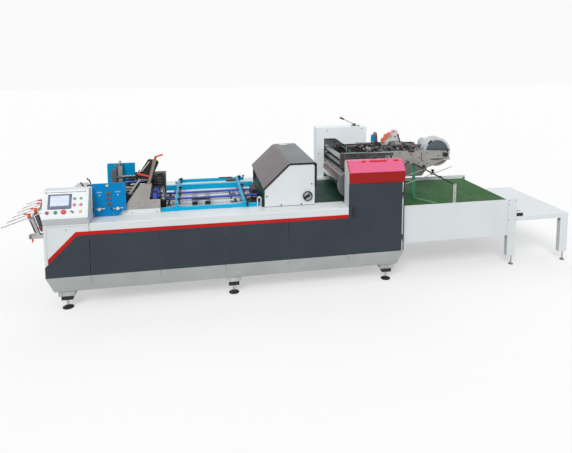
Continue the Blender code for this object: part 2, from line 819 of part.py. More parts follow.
def build_arm(paints):
    # Side plates of the film arm: deep at the drum, slender at the reel.
    left = drum_axis[0] - drum_shaft_radius - 0.008
    over_drum = drum_axis[1] + drum_radius + 0.017
    over_beam = arm_beam_top + seat_gap
    step = arm_beam_start - 0.15
    tip = arm_end - arm_tip_length
    slender = arm_top - arm_slender_height
    belly = arm_top - arm_belly_height
    foot_line = arm_top - arm_tip_height - 0.010
    near = [(left, over_drum), (left, arm_top), (guide_rail_end, arm_top), (tip + 0.024, arm_top - 0.018),
            (arm_end, arm_top - 0.100), (arm_end, foot_line), (tip, foot_line),
            (tip - 0.183, belly + 0.006), (tip - 0.250, belly - 0.008),
            (tip - 0.376, slender - 0.010), (arm_beam_end + 0.15, slender - 0.010),
            (arm_beam_end, over_beam), (step, over_beam), (step - 0.05, over_drum)]
    far_low = arm_top - arm_far_height
    far = [(step, over_beam), (step, arm_top), (guide_rail_end, arm_top), (tip + 0.024, arm_top - 0.018),
           (arm_end, arm_top - 0.100), (arm_end, foot_line), (tip - 0.022, arm_top - 0.327),
           (tip - 0.090, far_low + 0.002),
           (arm_beam_end + 0.25, far_low), (arm_beam_end + 0.05, over_beam)]
    y0 = arm_near + arm_plate_thickness
    tie_places = ((left + 0.300, arm_top - 0.090), (reel_axis[0] - reel_radius - 0.315, arm_top - 0.110),
                  (reel_axis[0] - reel_radius - 0.050, arm_top - 0.100))
    ties = [cylinder((x, y0 - 0.01, z), (x, arm_far - seat_gap, z), arm_tie_radius, 16)
            for x, z in tie_places]
    near_plate = prism(rounded(near, 0.012, [1, 3, 4, 7, 8, 9]), "Y", arm_near, y0)
    combine("arm_plate_near", [near_plate] + ties, paints["cast"])
    finish("arm_plate_far", prism(rounded(far, 0.020, [3, 4, 6, 7]), "Y",
                                  arm_far, arm_far + arm_plate_thickness), paints["cast"])

    # Square beam that carries the arm, from the near side frame to the far side plate.
    finish("arm_beam", block((arm_beam_start, arm_beam_end),
                             (side_depth + seat_gap, far_plate_place - seat_gap),
                             (arm_beam_top - arm_beam_width, arm_beam_top)), paints["cast"])

    # Film reel: roll, flange, hub and shaft turn together.
    rx, rz = reel_axis
    start = y0 + reel_front
    end = start + reel_width
    flange = start - reel_flange_thickness
    edge = 0.004
    profile = [(0.0, y0 + seat_gap), (reel_shaft_radius, y0 + seat_gap), (reel_shaft_radius, flange - 0.012),
               (reel_hub_radius, flange - 0.012), (reel_hub_radius, flange),
               (reel_flange_radius - edge, flange), (reel_flange_radius, flange + edge),
               (reel_flange_radius, start), (reel_radius, start), (reel_radius, end),
               (reel_hub_radius, end), (reel_hub_radius, end + 0.02), (reel_shaft_radius, end + 0.02),
               (reel_shaft_radius, arm_far - seat_gap), (0.0, arm_far - seat_gap)]
    reel = finish("film_reel", turned(profile, (rx, 0.0, rz), "Y", 40), paints["film"], True)
    set_origin(reel, (rx, 0.0, rz))


def build_film_guides(paints):
    # A rail over the arm on two cross bars, with a film head, three tension discs and an arch plate.
    start, end = drum_axis[0] + guide_rail_start, guide_rail_end
    y = arm_near + guide_place
    low = arm_top + seat_gap
    top = low + guide_rail_height
    span = (arm_near, arm_far + arm_plate_thickness)
    solids = [block((start, end), (y - guide_rail_width / 2, y + guide_rail_width / 2), (low, top))]
    for x in (start + guide_bar_inset, end - guide_bar_inset):
        solids.append(block((x - guide_bar_width / 2, x + guide_bar_width / 2), span, (low, top - 0.005)))
    head_x = drum_axis[0] + 0.423
    head_left, head_right = head_x - film_head_width / 2, head_x + film_head_width / 2
    head = [(head_left, top - 0.005), (head_right, top - 0.005),
            (head_right, low + film_head_height), (head_left, low + film_head_height)]
    solids.append(prism(rounded(head, 0.010, [2, 3]), "Y", y - 0.015, y + 0.015))
    disc_y = (y - guide_rail_width / 2 - 0.006, y - guide_rail_width / 2 + 0.008)
    places = [(drum_axis[0] + x, low + z) for x, z in tension_discs]
    for x, z in places:
        solids.append(cylinder((x, disc_y[0], z), (x, disc_y[1], z), tension_radius, 20))
    bracket = [(places[0][0] - 0.020, top - 0.005), (places[0][0] - 0.020, places[0][1] + 0.010),
               (places[1][0] - 0.020, places[1][1] + 0.014), (places[2][0] + 0.020, places[2][1] + 0.014),
               (places[2][0] + 0.020, top - 0.005)]
    solids.append(prism(bracket, "Y", disc_y[1] - 0.001, disc_y[1] + 0.009))
    arch_x = drum_axis[0] + arch_place
    arch_top = low + arch_height
    arch = [(arch_x - arch_width / 2, top - 0.005), (arch_x + arch_width / 2, top - 0.005),
            (arch_x + arch_width / 2, arch_top), (arch_x - arch_width / 2, arch_top)]
    solids.append(prism(rounded(arch, arch_width * 0.49, [2, 3], steps=6), "Y", y - 0.008, y + 0.008))
    combine("film_guides", solids, paints["cast"])


def belt_outline(first, last, surface, reach):
    # Two half turns round the ends of a slider bed, from one end's centre to the other's.
    steps = 12
    height = surface - belt_thickness - belt_end_radius
    points = []
    for centre, begin in ((last, 90.0), (first, -90.0)):
        for i in range(steps + 1):
            angle = math.radians(begin - 180.0 * i / steps)
            points.append((centre + reach * math.cos(angle), height + reach * math.sin(angle)))
    return points


def build_delivery(paints):
    start = machine_end + seat_gap
    for name, y in (("delivery_plate_front", delivery_front), ("delivery_plate_back", delivery_back - sheet)):
        finish(name, block((start, delivery_end), (y, y + sheet), (delivery_bottom, delivery_top)),
               paints["white"])

    # Two belts, each one closed loop round the slider bed that carries it.
    pitch = belt_end_radius + belt_thickness + belt_margin
    runs = (("patch", hood_end + 0.006 + pitch, machine_end - pitch, patch_surface,
             side_depth, frame_depth - side_depth),
            ("delivery", machine_end + pitch, delivery_end - pitch, delivery_surface,
             delivery_front + sheet, delivery_back - sheet))
    for name, first, last, surface, y0, y1 in runs:
        hole = prism(belt_outline(first, last, surface, belt_end_radius + seat_gap), "Y",
                     y0 + belt_margin - 0.01, y1 - belt_margin + 0.01)
        loop = prism(belt_outline(first, last, surface, belt_end_radius + belt_thickness), "Y",
                     y0 + belt_margin, y1 - belt_margin)
        combine(f"{name}_belt", [loop], paints["belt"], cuts=[hole])
        finish(f"{name}_bed", prism(belt_outline(first, last, surface, belt_end_radius), "Y",
                                    y0 + seat_gap, y1 - seat_gap), paints["steel"])

    # Legs at the delivery end, each with its screw foot, joined by a tie under the belt.
    leg_end = delivery_end
    solids = []
    y_near = delivery_front + sheet + seat_gap
    y_far = delivery_back - sheet - seat_gap
    for y0, y1 in ((y_near, y_near + leg_depth), (y_far - leg_depth, y_far)):
        solids.append(block((leg_end - leg_width, leg_end), (y0, y1), (leg_bottom, delivery_bottom + leg_lap)))
        solids.append(small_foot(leg_end - 0.025, (y0 + y1) / 2, leg_bottom))
    solids.append(block((leg_end - leg_width + 0.02, leg_end - 0.02), (y_near + 0.01, y_far - 0.01),
                        (delivery_bottom + leg_tie_rise,
                         delivery_bottom + leg_tie_rise + leg_tie_height)))
    combine("delivery_legs", solids, paints["white"])
    finish("stop_box", block((delivery_end + seat_gap, delivery_end + stop_length),
                             (delivery_front, delivery_front + 0.05),
                             (table_top + seat_gap, table_top + stop_height)), paints["black"])


def build_sheet_guide(paints):
    # Flat post on the inner side of the delivery plate, a slanted rod from it to the arm's near
    # plate, and two thin wires that the rod's clamps hold over the sheets.
    x0 = machine_end + guide_post_place - guide_post_width / 2
    face = delivery_front + sheet + seat_gap
    top = rail_top + guide_post_rise
    post = [(x0, delivery_top - 0.035), (x0 + guide_post_width, delivery_top - 0.035),
            (x0 + guide_post_width, top), (x0, top)]
    solids = [prism(rounded(post, 0.008, [2, 3]), "Y", face, face + 0.008)]
    low_end = Vector((x0 + guide_post_width / 2, face + 0.003, top - 0.012))
    high_end = Vector((low_end.x - guide_rod_reach, arm_near - guide_rod_radius,
                       low_end.z + guide_rod_climb))
    solids.append(cylinder(low_end, high_end, guide_rod_radius, 10))
    solids.append(cylinder((high_end.x, arm_near - 0.014, high_end.z),
                           (high_end.x, arm_near - seat_gap, high_end.z), guide_rod_radius * 2, 16))
    slope = math.radians(guide_wire_slope)
    run = Vector((math.cos(slope), 0.0, math.sin(slope)))
    beside = Vector((0.0, 0.001 - clamp_radius, 0.0))
    for share, back, ahead in (long_wire, short_wire):
        hold = low_end.lerp(high_end, share)
        screw_top = hold + Vector((0.0, 0.0, clamp_screw_height))
        solids.append(cylinder(hold - run * clamp_width / 2, hold + run * clamp_width / 2, clamp_radius, 12))
        solids.append(cylinder(hold, screw_top, clamp_knob_radius * 0.4, 8))
        solids.append(cylinder(hold.lerp(screw_top, 0.65), screw_top, clamp_knob_radius, 12))
        solids.append(cylinder(hold + beside - run * back, hold + beside + run * ahead, guide_wire_radius, 8))
    combine("sheet_guide", solids, paints["steel"])


def build_table(paints):
    y0, y1 = delivery_front + table_inset, delivery_back - table_inset
    table_end = delivery_end + table_length
    low = table_top - table_thickness
    solids = [block((delivery_end + seat_gap, table_end), (y0, y1), (low, table_top))]
    for a, b in ((y0, y0 + leg_depth), (y1 - leg_depth, y1)):
        solids.append(block((table_end - leg_width, table_end - 0.001), (a + 0.001, b - 0.001),
                            (leg_bottom, table_top - 0.01)))
        solids.append(small_foot(table_end - 0.032, (a + b) / 2, leg_bottom))
    combine("receiving_table", solids, paints["white"])


def build_feeder(paints):
    base = rail_top + seat_gap
    x0, x1 = feeder_start, feeder_start + feeder_plate_length
    cut_x, cut_z = feeder_plate_cut
    plate_top = rail_top + feeder_plate_rise
    plate = [(x0, base), (x1 - cut_x, base), (x1, base + cut_z), (x1, plate_top), (x0, plate_top)]
    finish("feeder_plate_front", prism(rounded(plate, 0.006, [3, 4]), "Y",
                                       feeder_front, feeder_front + feeder_plate_thickness), paints["blue"])
    rear_start = bays_start + rear_plate_place
    rear_y = frame_depth - rear_plate_inset
    rear = [(rear_start, bed_top + seat_gap), (rear_start + rear_plate_length, bed_top + seat_gap),
            (rear_start + rear_plate_length, rail_top + rear_plate_rise),
            (rear_start, rail_top + rear_plate_rise)]
    finish("feeder_plate_back", prism(rounded(rear, 0.006, [2, 3]), "Y",
                                      rear_y, rear_y + feeder_plate_thickness), paints["blue"])
    shoulder = guard_start + guard_length
    guard_top = rail_top + guard_rise
    guard = [(guard_start, base), (guard_start + guard_top_start, guard_top),
             (guard_start + guard_top_end, guard_top), (guard_start + guard_neck, base + guard_ledge),
             (shoulder, base + guard_ledge), (shoulder, base)]
    finish("guard_plate", prism(rounded(guard, 0.008, [1, 2, 3, 4]), "Y",
                                guard_front, guard_front + guard_thickness), paints["cast"])

    # Inclined post on the back of the guard plate, with a clamp lever on top.
    back = guard_front + guard_thickness + seat_gap
    middle = back + post_depth / 2
    low = Vector((guard_start + post_foot[0], middle, rail_top + post_foot[1]))
    high = Vector((guard_start + post_head[0], middle, rail_top + post_head[1]))
    lean = (high - low).normalized()
    across = Vector((lean.z, 0.0, -lean.x)) * (post_width / 2)
    outline = [(p.x, p.z) for p in (low - across, low + across, high + across, high - across)]
    knob = cylinder(high - lean * 0.01, high + lean * 0.045, 0.010, 12)
    arm = cylinder(high + lean * 0.035, high + lean * 0.035 + Vector((0.075, 0.0, 0.022)), 0.007, 10)
    combine("guard_post", [prism(outline, "Y", back, back + post_depth), knob, arm], paints["grey"])

    # Two black covers of the feeder head, each a rounded frame round a sunk pane, on a spacer bar.
    cx = guard_start + cover_place
    upper = [(cx, rail_top + 0.343), (cx + 0.137, rail_top + 0.305),
             (cx + 0.217, rail_top + 0.480), (cx + 0.108, rail_top + 0.506)]
    lower = [(cx + 0.192, rail_top + 0.111), (cx + 0.272, rail_top + 0.106),
             (cx + 0.269, rail_top + 0.359), (cx + 0.159, rail_top + 0.351)]
    middle_y = cover_front + cover_depth / 2
    solids, recesses = [block((cx + 0.111, cx + 0.195), (middle_y - 0.012, middle_y + 0.012),
                              (rail_top + 0.288, rail_top + 0.340))], []
    for outline in (upper, lower):
        centre = sum((Vector(p) for p in outline), Vector((0.0, 0.0))) / 4
        pane = [tuple(Vector(p) + (centre - Vector(p)).normalized() * cover_rim * 1.4) for p in outline]
        solids.append(prism(rounded(outline, 0.022), "Y", cover_front, cover_front + cover_depth))
        recesses.append(prism(rounded(pane, 0.012), "Y", cover_front - 0.01, cover_front + cover_recess))
    spacer = (cx + 0.123, rail_top + 0.298)
    solids.append(cylinder((spacer[0], back + post_depth + seat_gap, spacer[1]),
                           (spacer[0], middle_y, spacer[1]), 0.008, 16))
    combine("feeder_cover", solids, paints["black"], cuts=recesses)

    # Three feed wheels on a short shaft behind the guard plate's step.
    wx, wz = guard_start + wheel_place[0], rail_top + wheel_place[1]
    bracket = block((wx - 0.018, wx + 0.018), (back, back + 0.012), (wz - 0.095, wz + 0.016))
    shaft = cylinder((wx, back + 0.006, wz), (wx, back + 0.155, wz), 0.009, 16)
    wheels = []
    for i in range(3):
        start = back + 0.030 + i * 0.044
        wheels.append(turned([(0.0, start), (wheel_radius - 0.004, start), (wheel_radius, start + 0.004),
                              (wheel_radius, start + wheel_width - 0.004),
                              (wheel_radius - 0.004, start + wheel_width), (0.0, start + wheel_width)],
                             (wx, 0.0, wz), "Y", 24))
    combine("feed_wheels", [bracket, shaft] + wheels, paints["navy"])


def build_transfer(paints):
    # Three long bars: the near one rests on the rail, the others hang between the cross bars.
    near_top = rail_top + seat_gap + bar_height
    spans = ((near_bar, transfer_start - 0.010, transfer_end, near_top),
             (middle_bar, transfer_start, transfer_end, long_bar_top),
             (far_bar, cross_bar_stations[0], cross_bar_stations[1] + far_bar_reach, long_bar_top))
    solids = [block((start, end), (place - bar_width / 2, place + bar_width / 2), (top - bar_height, top))
              for place, start, end, top in spans]

    # Cross bars hook down in front of the near bar and stand on a leg at the far one.
    cross_top = long_bar_top + cross_bar_step
    cross_low = cross_top - cross_bar_height
    hook = near_bar - bar_width / 2 - cross_bar_hook
    half, leg = cross_bar_width / 2, transfer_leg_width / 2
    for x in cross_bar_stations:
        solids.append(block((x - half, x + half), (hook, far_bar + bar_width / 2), (cross_low, cross_top)))
        solids.append(block((x - half, x + half), (hook, near_bar), (rail_top + seat_gap, cross_top)))
        solids.append(block((x - leg, x + leg), (far_bar - leg, far_bar + leg),
                            (bed_top + seat_gap, long_bar_top)))
    combine("transfer_frame", solids, paints["light_blue"])

    # Two round guide rods hang under the cross bars, tied by two blocks.
    z = cross_low - seat_gap - rod_radius
    rods = (near_bar + rod_from_near_bar, middle_bar - rod_from_middle_bar)
    solids = [cylinder((transfer_start + 0.010, y, z), (transfer_end, y, z), rod_radius, 16) for y in rods]
    for place in rod_blocks:
        x = transfer_start + place
        solids.append(block((x - rod_block_length / 2, x + rod_block_length / 2),
                            (rods[0] - 2 * rod_radius, rods[1] + 2 * rod_radius),
                            (z - 0.002 - rod_block_height, z - 0.002)))
    combine("guide_rods", solids, paints["navy"])


def build_rack(paints):
    slope = math.radians(rack_slope)
    run = Vector((math.cos(slope), 0.0, math.sin(slope)))
    tip = Vector((-rack_reach, 0.0, rail_top - rack_tip_drop))
    first, last = side_depth + rack_inset, frame_depth - rack_back_inset
    pitch = (last - first) / (rack_rod_count - 1)
    carry = tip + run * rack_cross_place
    cross = carry - Vector((0.0, 0.0, rack_cross_radius + 0.004))
    solids = [cylinder((cross.x, first - 0.03, cross.z), (cross.x, last + 0.03, cross.z),
                       rack_cross_radius, 12)]
    for i in range(rack_rod_count):
        start = tip + Vector((0.0, first + i * pitch, 0.0))
        solids.append(cylinder(start, start + run * rack_rod_length, rack_rod_radius, 8))
    foot_x, foot_z = -rack_foot_reach, rail_top - rack_foot_drop
    half = rack_bar / 2
    for y in (first + 0.04, last - 0.04):
        post = [(cross.x - half, cross.z), (cross.x + half, cross.z), (foot_x + half, foot_z - 0.01),
                (foot_x - half, foot_z - 0.01)]
        solids.append(prism(post, "Y", y - half, y + half))
        solids.append(block((foot_x - 0.08, bays_start - seat_gap), (y - half - 0.004, y + half + 0.004),
                            (foot_z - rack_bar, foot_z)))
    combine("feed_rack", solids, paints["steel"])


def clear_scene():
    for old in list(bpy.data.objects):
        bpy.data.objects.remove(old, do_unlink=True)


def centre_machine():
    # The origin is on the floor, under the middle of the machine's outline.
    bpy.context.view_layer.update()
    graph = bpy.context.evaluated_depsgraph_get()
    corners = []
    solids = [o for o in bpy.data.objects if o.type == "MESH" and not o.hide_render]
    for piece in solids:
        seen = piece.evaluated_get(graph)
        corners += [seen.matrix_world @ Vector(c) for c in seen.bound_box]
    middle = Vector([(min(c[i] for c in corners) + max(c[i] for c in corners)) / 2 for i in (0, 1)] + [0.0])
    frame = bpy.data.objects.new("machine_frame", None)
    bpy.context.scene.collection.objects.link(frame)
    frame.location = -middle
    for piece in bpy.data.objects:
        if piece.type == "MESH":
            piece.parent = frame


def main():
    clear_scene()
    paints = {
        "white": paint("white_paint", (0.78, 0.80, 0.82), 0.35),
        "pale": paint("pale_table_paint", (0.72, 0.74, 0.76), 0.4),
        "grey": paint("grey_paint", (0.40, 0.42, 0.43), 0.5),
        "dark": paint("anthracite_paint", (0.058, 0.067, 0.080), 0.45),
        "red": paint("red_paint", (0.58, 0.012, 0.010), 0.4),
        "frame": paint("frame_paint", (0.35, 0.36, 0.37), 0.5),
        "black": paint("black_plastic", (0.02, 0.02, 0.022), 0.45),
        "steel": paint("bright_steel", (0.55, 0.55, 0.56), 0.3, 1.0),
        "cast": paint("machined_plate", (0.42, 0.40, 0.38), 0.45, 0.3),
        "chrome": paint("polished_steel", (0.62, 0.62, 0.63), 0.15, 1.0),
        "hood": paint("hood_enamel", (0.20, 0.185, 0.19), 0.35, 0.2),
        "film": paint("film_roll", (0.50, 0.52, 0.54), 0.3),
        "belt": paint("green_belt", (0.045, 0.18, 0.07), 0.6),
        "blue": paint("blue_paint", (0.0, 0.19, 0.50), 0.4),
        "light_blue": paint("light_blue_paint", (0.0, 0.33, 0.62), 0.4),
        "navy": paint("navy_paint", (0.03, 0.06, 0.40), 0.35),
    }
    build_housing(paints)
    build_panels(paints)
    build_foot_beams(paints)
    build_control(paints)
    build_tall_cabinet(paints)
    build_hood(paints)
    build_far_frame(paints)
    build_patching_unit(paints)
    build_arm(paints)
    build_film_guides(paints)
    build_delivery(paints)
    build_sheet_guide(paints)
    build_table(paints)
    build_feeder(paints)
    build_transfer(paints)
    build_rack(paints)
    centre_machine()


main()
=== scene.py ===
# Looks of a sheet-fed window patching machine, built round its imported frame.
import json
import math
import bmesh
import bpy
from mathutils import Matrix, Vector


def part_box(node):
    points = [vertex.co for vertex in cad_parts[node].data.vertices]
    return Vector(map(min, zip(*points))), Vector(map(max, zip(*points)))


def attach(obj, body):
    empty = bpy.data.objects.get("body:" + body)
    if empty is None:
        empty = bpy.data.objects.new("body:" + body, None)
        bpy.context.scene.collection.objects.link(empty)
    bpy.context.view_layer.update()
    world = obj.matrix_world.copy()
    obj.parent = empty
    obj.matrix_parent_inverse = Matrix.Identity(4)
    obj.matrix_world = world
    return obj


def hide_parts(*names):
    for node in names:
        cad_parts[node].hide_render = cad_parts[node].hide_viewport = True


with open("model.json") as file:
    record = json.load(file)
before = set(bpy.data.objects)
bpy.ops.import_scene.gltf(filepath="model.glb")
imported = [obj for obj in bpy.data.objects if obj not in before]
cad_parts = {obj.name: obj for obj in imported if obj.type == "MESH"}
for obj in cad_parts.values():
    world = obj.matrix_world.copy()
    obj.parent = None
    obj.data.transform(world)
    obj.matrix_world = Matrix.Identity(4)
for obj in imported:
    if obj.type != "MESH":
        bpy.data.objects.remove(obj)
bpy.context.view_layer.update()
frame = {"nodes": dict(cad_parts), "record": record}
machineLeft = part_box("control_cabinet")[0].x
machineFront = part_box("front_panel_1")[0].y
bodyOf = {}
for bodyName, members in frame["record"]["behaviour"]["bodies"].items():
    for member in members:
        bodyOf[member] = bodyName
across = Vector((1.0, 0.0, 0.0))
inward = Vector((0.0, 1.0, 0.0))
upward = Vector((0.0, 0.0, 1.0))
print("frame loaded:", len(frame["nodes"]), "nodes")


def at(x, y, z):
    # From the machine's left end, from its front panels, above the floor.
    return Vector((machineLeft + x, machineFront + y, z))


# Shader effects that the finishes share.


def newGroup(name, inputs, outputs):
    group = bpy.data.node_groups.new(name, "ShaderNodeTree")
    for label, kind, value in inputs:
        socket = group.interface.new_socket(label, in_out="INPUT", socket_type="NodeSocket" + kind)
        if value is not None:
            socket.default_value = value
    for label, kind in outputs:
        group.interface.new_socket(label, in_out="OUTPUT", socket_type="NodeSocket" + kind)
    return group, group.nodes.new("NodeGroupInput").outputs, group.nodes.new("NodeGroupOutput").inputs


def addNode(tree, kind, plugs=None, **settings):
    node = tree.nodes.new("ShaderNode" + kind)
    for key, value in settings.items():
        setattr(node, key, value)
    for key, value in (plugs or {}).items():
        if isinstance(value, bpy.types.NodeSocket):
            tree.links.new(value, node.inputs[key])
        else:
            node.inputs[key].default_value = value
    return node


def addMix(tree, share, first, second):
    return addNode(tree, "Mix", {0: share, 6: first, 7: second}, data_type="RGBA").outputs[2]


def addMath(tree, operation, first, second=0.0, clamp=False):
    return addNode(tree, "Math", {0: first, 1: second}, operation=operation, use_clamp=clamp).outputs[0]


def makeMottle():
    # Uneven patches: a soft cloud for colour and a fine one for gloss.
    group, given, result = newGroup(
        "mottle", [("Vector", "Vector", None), ("Scale", "Float", 4.0), ("Contrast", "Float", 1.0)],
        [("Cloud", "Float"), ("Fine", "Float")])
    cloud = addNode(group, "TexNoise", {"Vector": given["Vector"], "Scale": given["Scale"], "Detail": 4.0})
    spread = addNode(group, "MapRange", {0: cloud.outputs[0], 1: 0.35, 2: 0.65, 3: 0.0, 4: 1.0})
    scaled = addMath(group, "MULTIPLY", spread.outputs[0], given["Contrast"], clamp=True)
    closer = addMath(group, "MULTIPLY", given["Scale"], 9.0)
    fine = addNode(group, "TexNoise", {"Vector": given["Vector"], "Scale": closer, "Detail": 3.0})
    group.links.new(scaled, result["Cloud"])
    group.links.new(fine.outputs[0], result["Fine"])
    return group


def makeGrain():
    # Height of a fine surface: round for sprayed paint, stretched for brushed metal.
    group, given, result = newGroup(
        "grain", [("Vector", "Vector", None), ("Scale", "Float", 300.0), ("Stretch", "Vector", (1, 1, 1))],
        [("Height", "Float")])
    drawn = addNode(group, "VectorMath", {0: given["Vector"], 1: given["Stretch"]}, operation="MULTIPLY")
    noise = addNode(group, "TexNoise", {"Vector": drawn.outputs[0], "Scale": given["Scale"], "Detail": 2.0})
    group.links.new(noise.outputs[0], result["Height"])
    return group


def makeEdgeWear():
    # Rubbed edges: the edge attribute broken up by noise.
    group, given, result = newGroup(
        "edgeWear", [("Vector", "Vector", None), ("Edge", "Float", 0.0), ("Amount", "Float", 0.4)],
        [("Mask", "Float")])
    noise = addNode(group, "TexNoise", {"Vector": given["Vector"], "Scale": 38.0, "Detail": 5.0})
    start = addMath(group, "SUBTRACT", 0.78, given["Amount"])
    broken = addMath(group, "SUBTRACT", noise.outputs[0], start)
    sharpened = addMath(group, "MULTIPLY", broken, 7.0, clamp=True)
    group.links.new(addMath(group, "MULTIPLY", sharpened, given["Edge"]), result["Mask"])
    return group


def makeDust():
    # Dust that lies on faces that look up, and a darkening towards the bottom, near the floor.
    group, given, result = newGroup(
        "dust", [("Vector", "Vector", None), ("Lying", "Float", 0.2), ("Reach", "Float", 0.25)],
        [("Top", "Float"), ("Low", "Float")])
    normal = addNode(group, "NewGeometry").outputs["Normal"]
    facing = addNode(group, "SeparateXYZ", {0: normal}).outputs[2]
    level = addNode(group, "MapRange", {0: facing, 1: 0.6, 2: 0.95, 3: 0.0, 4: 1.0}).outputs[0]
    cloud = addNode(group, "TexNoise", {"Vector": given["Vector"], "Scale": 6.0, "Detail": 6.0}).outputs[0]
    loose = addNode(group, "MapRange", {0: cloud, 1: 0.38, 2: 0.7, 3: 0.0, 4: 1.0}).outputs[0]
    top = addMath(group, "MULTIPLY", addMath(group, "MULTIPLY", level, loose), given["Lying"])
    height = addNode(group, "SeparateXYZ", {0: given["Vector"]}).outputs[2]
    sink = addNode(group, "MapRange", {0: height, 1: given["Reach"], 2: 0.02, 3: 0.0, 4: 1.0}).outputs[0]
    group.links.new(top, result["Top"])
    group.links.new(addMath(group, "MULTIPLY", sink, loose), result["Low"])
    return group


effects = {"mottle": makeMottle(), "grain": makeGrain(), "edgeWear": makeEdgeWear(), "dust": makeDust()}


def paint(colour, drift, rough, **more):
    return dict(colour=colour, drift=drift, rough=rough, **more)


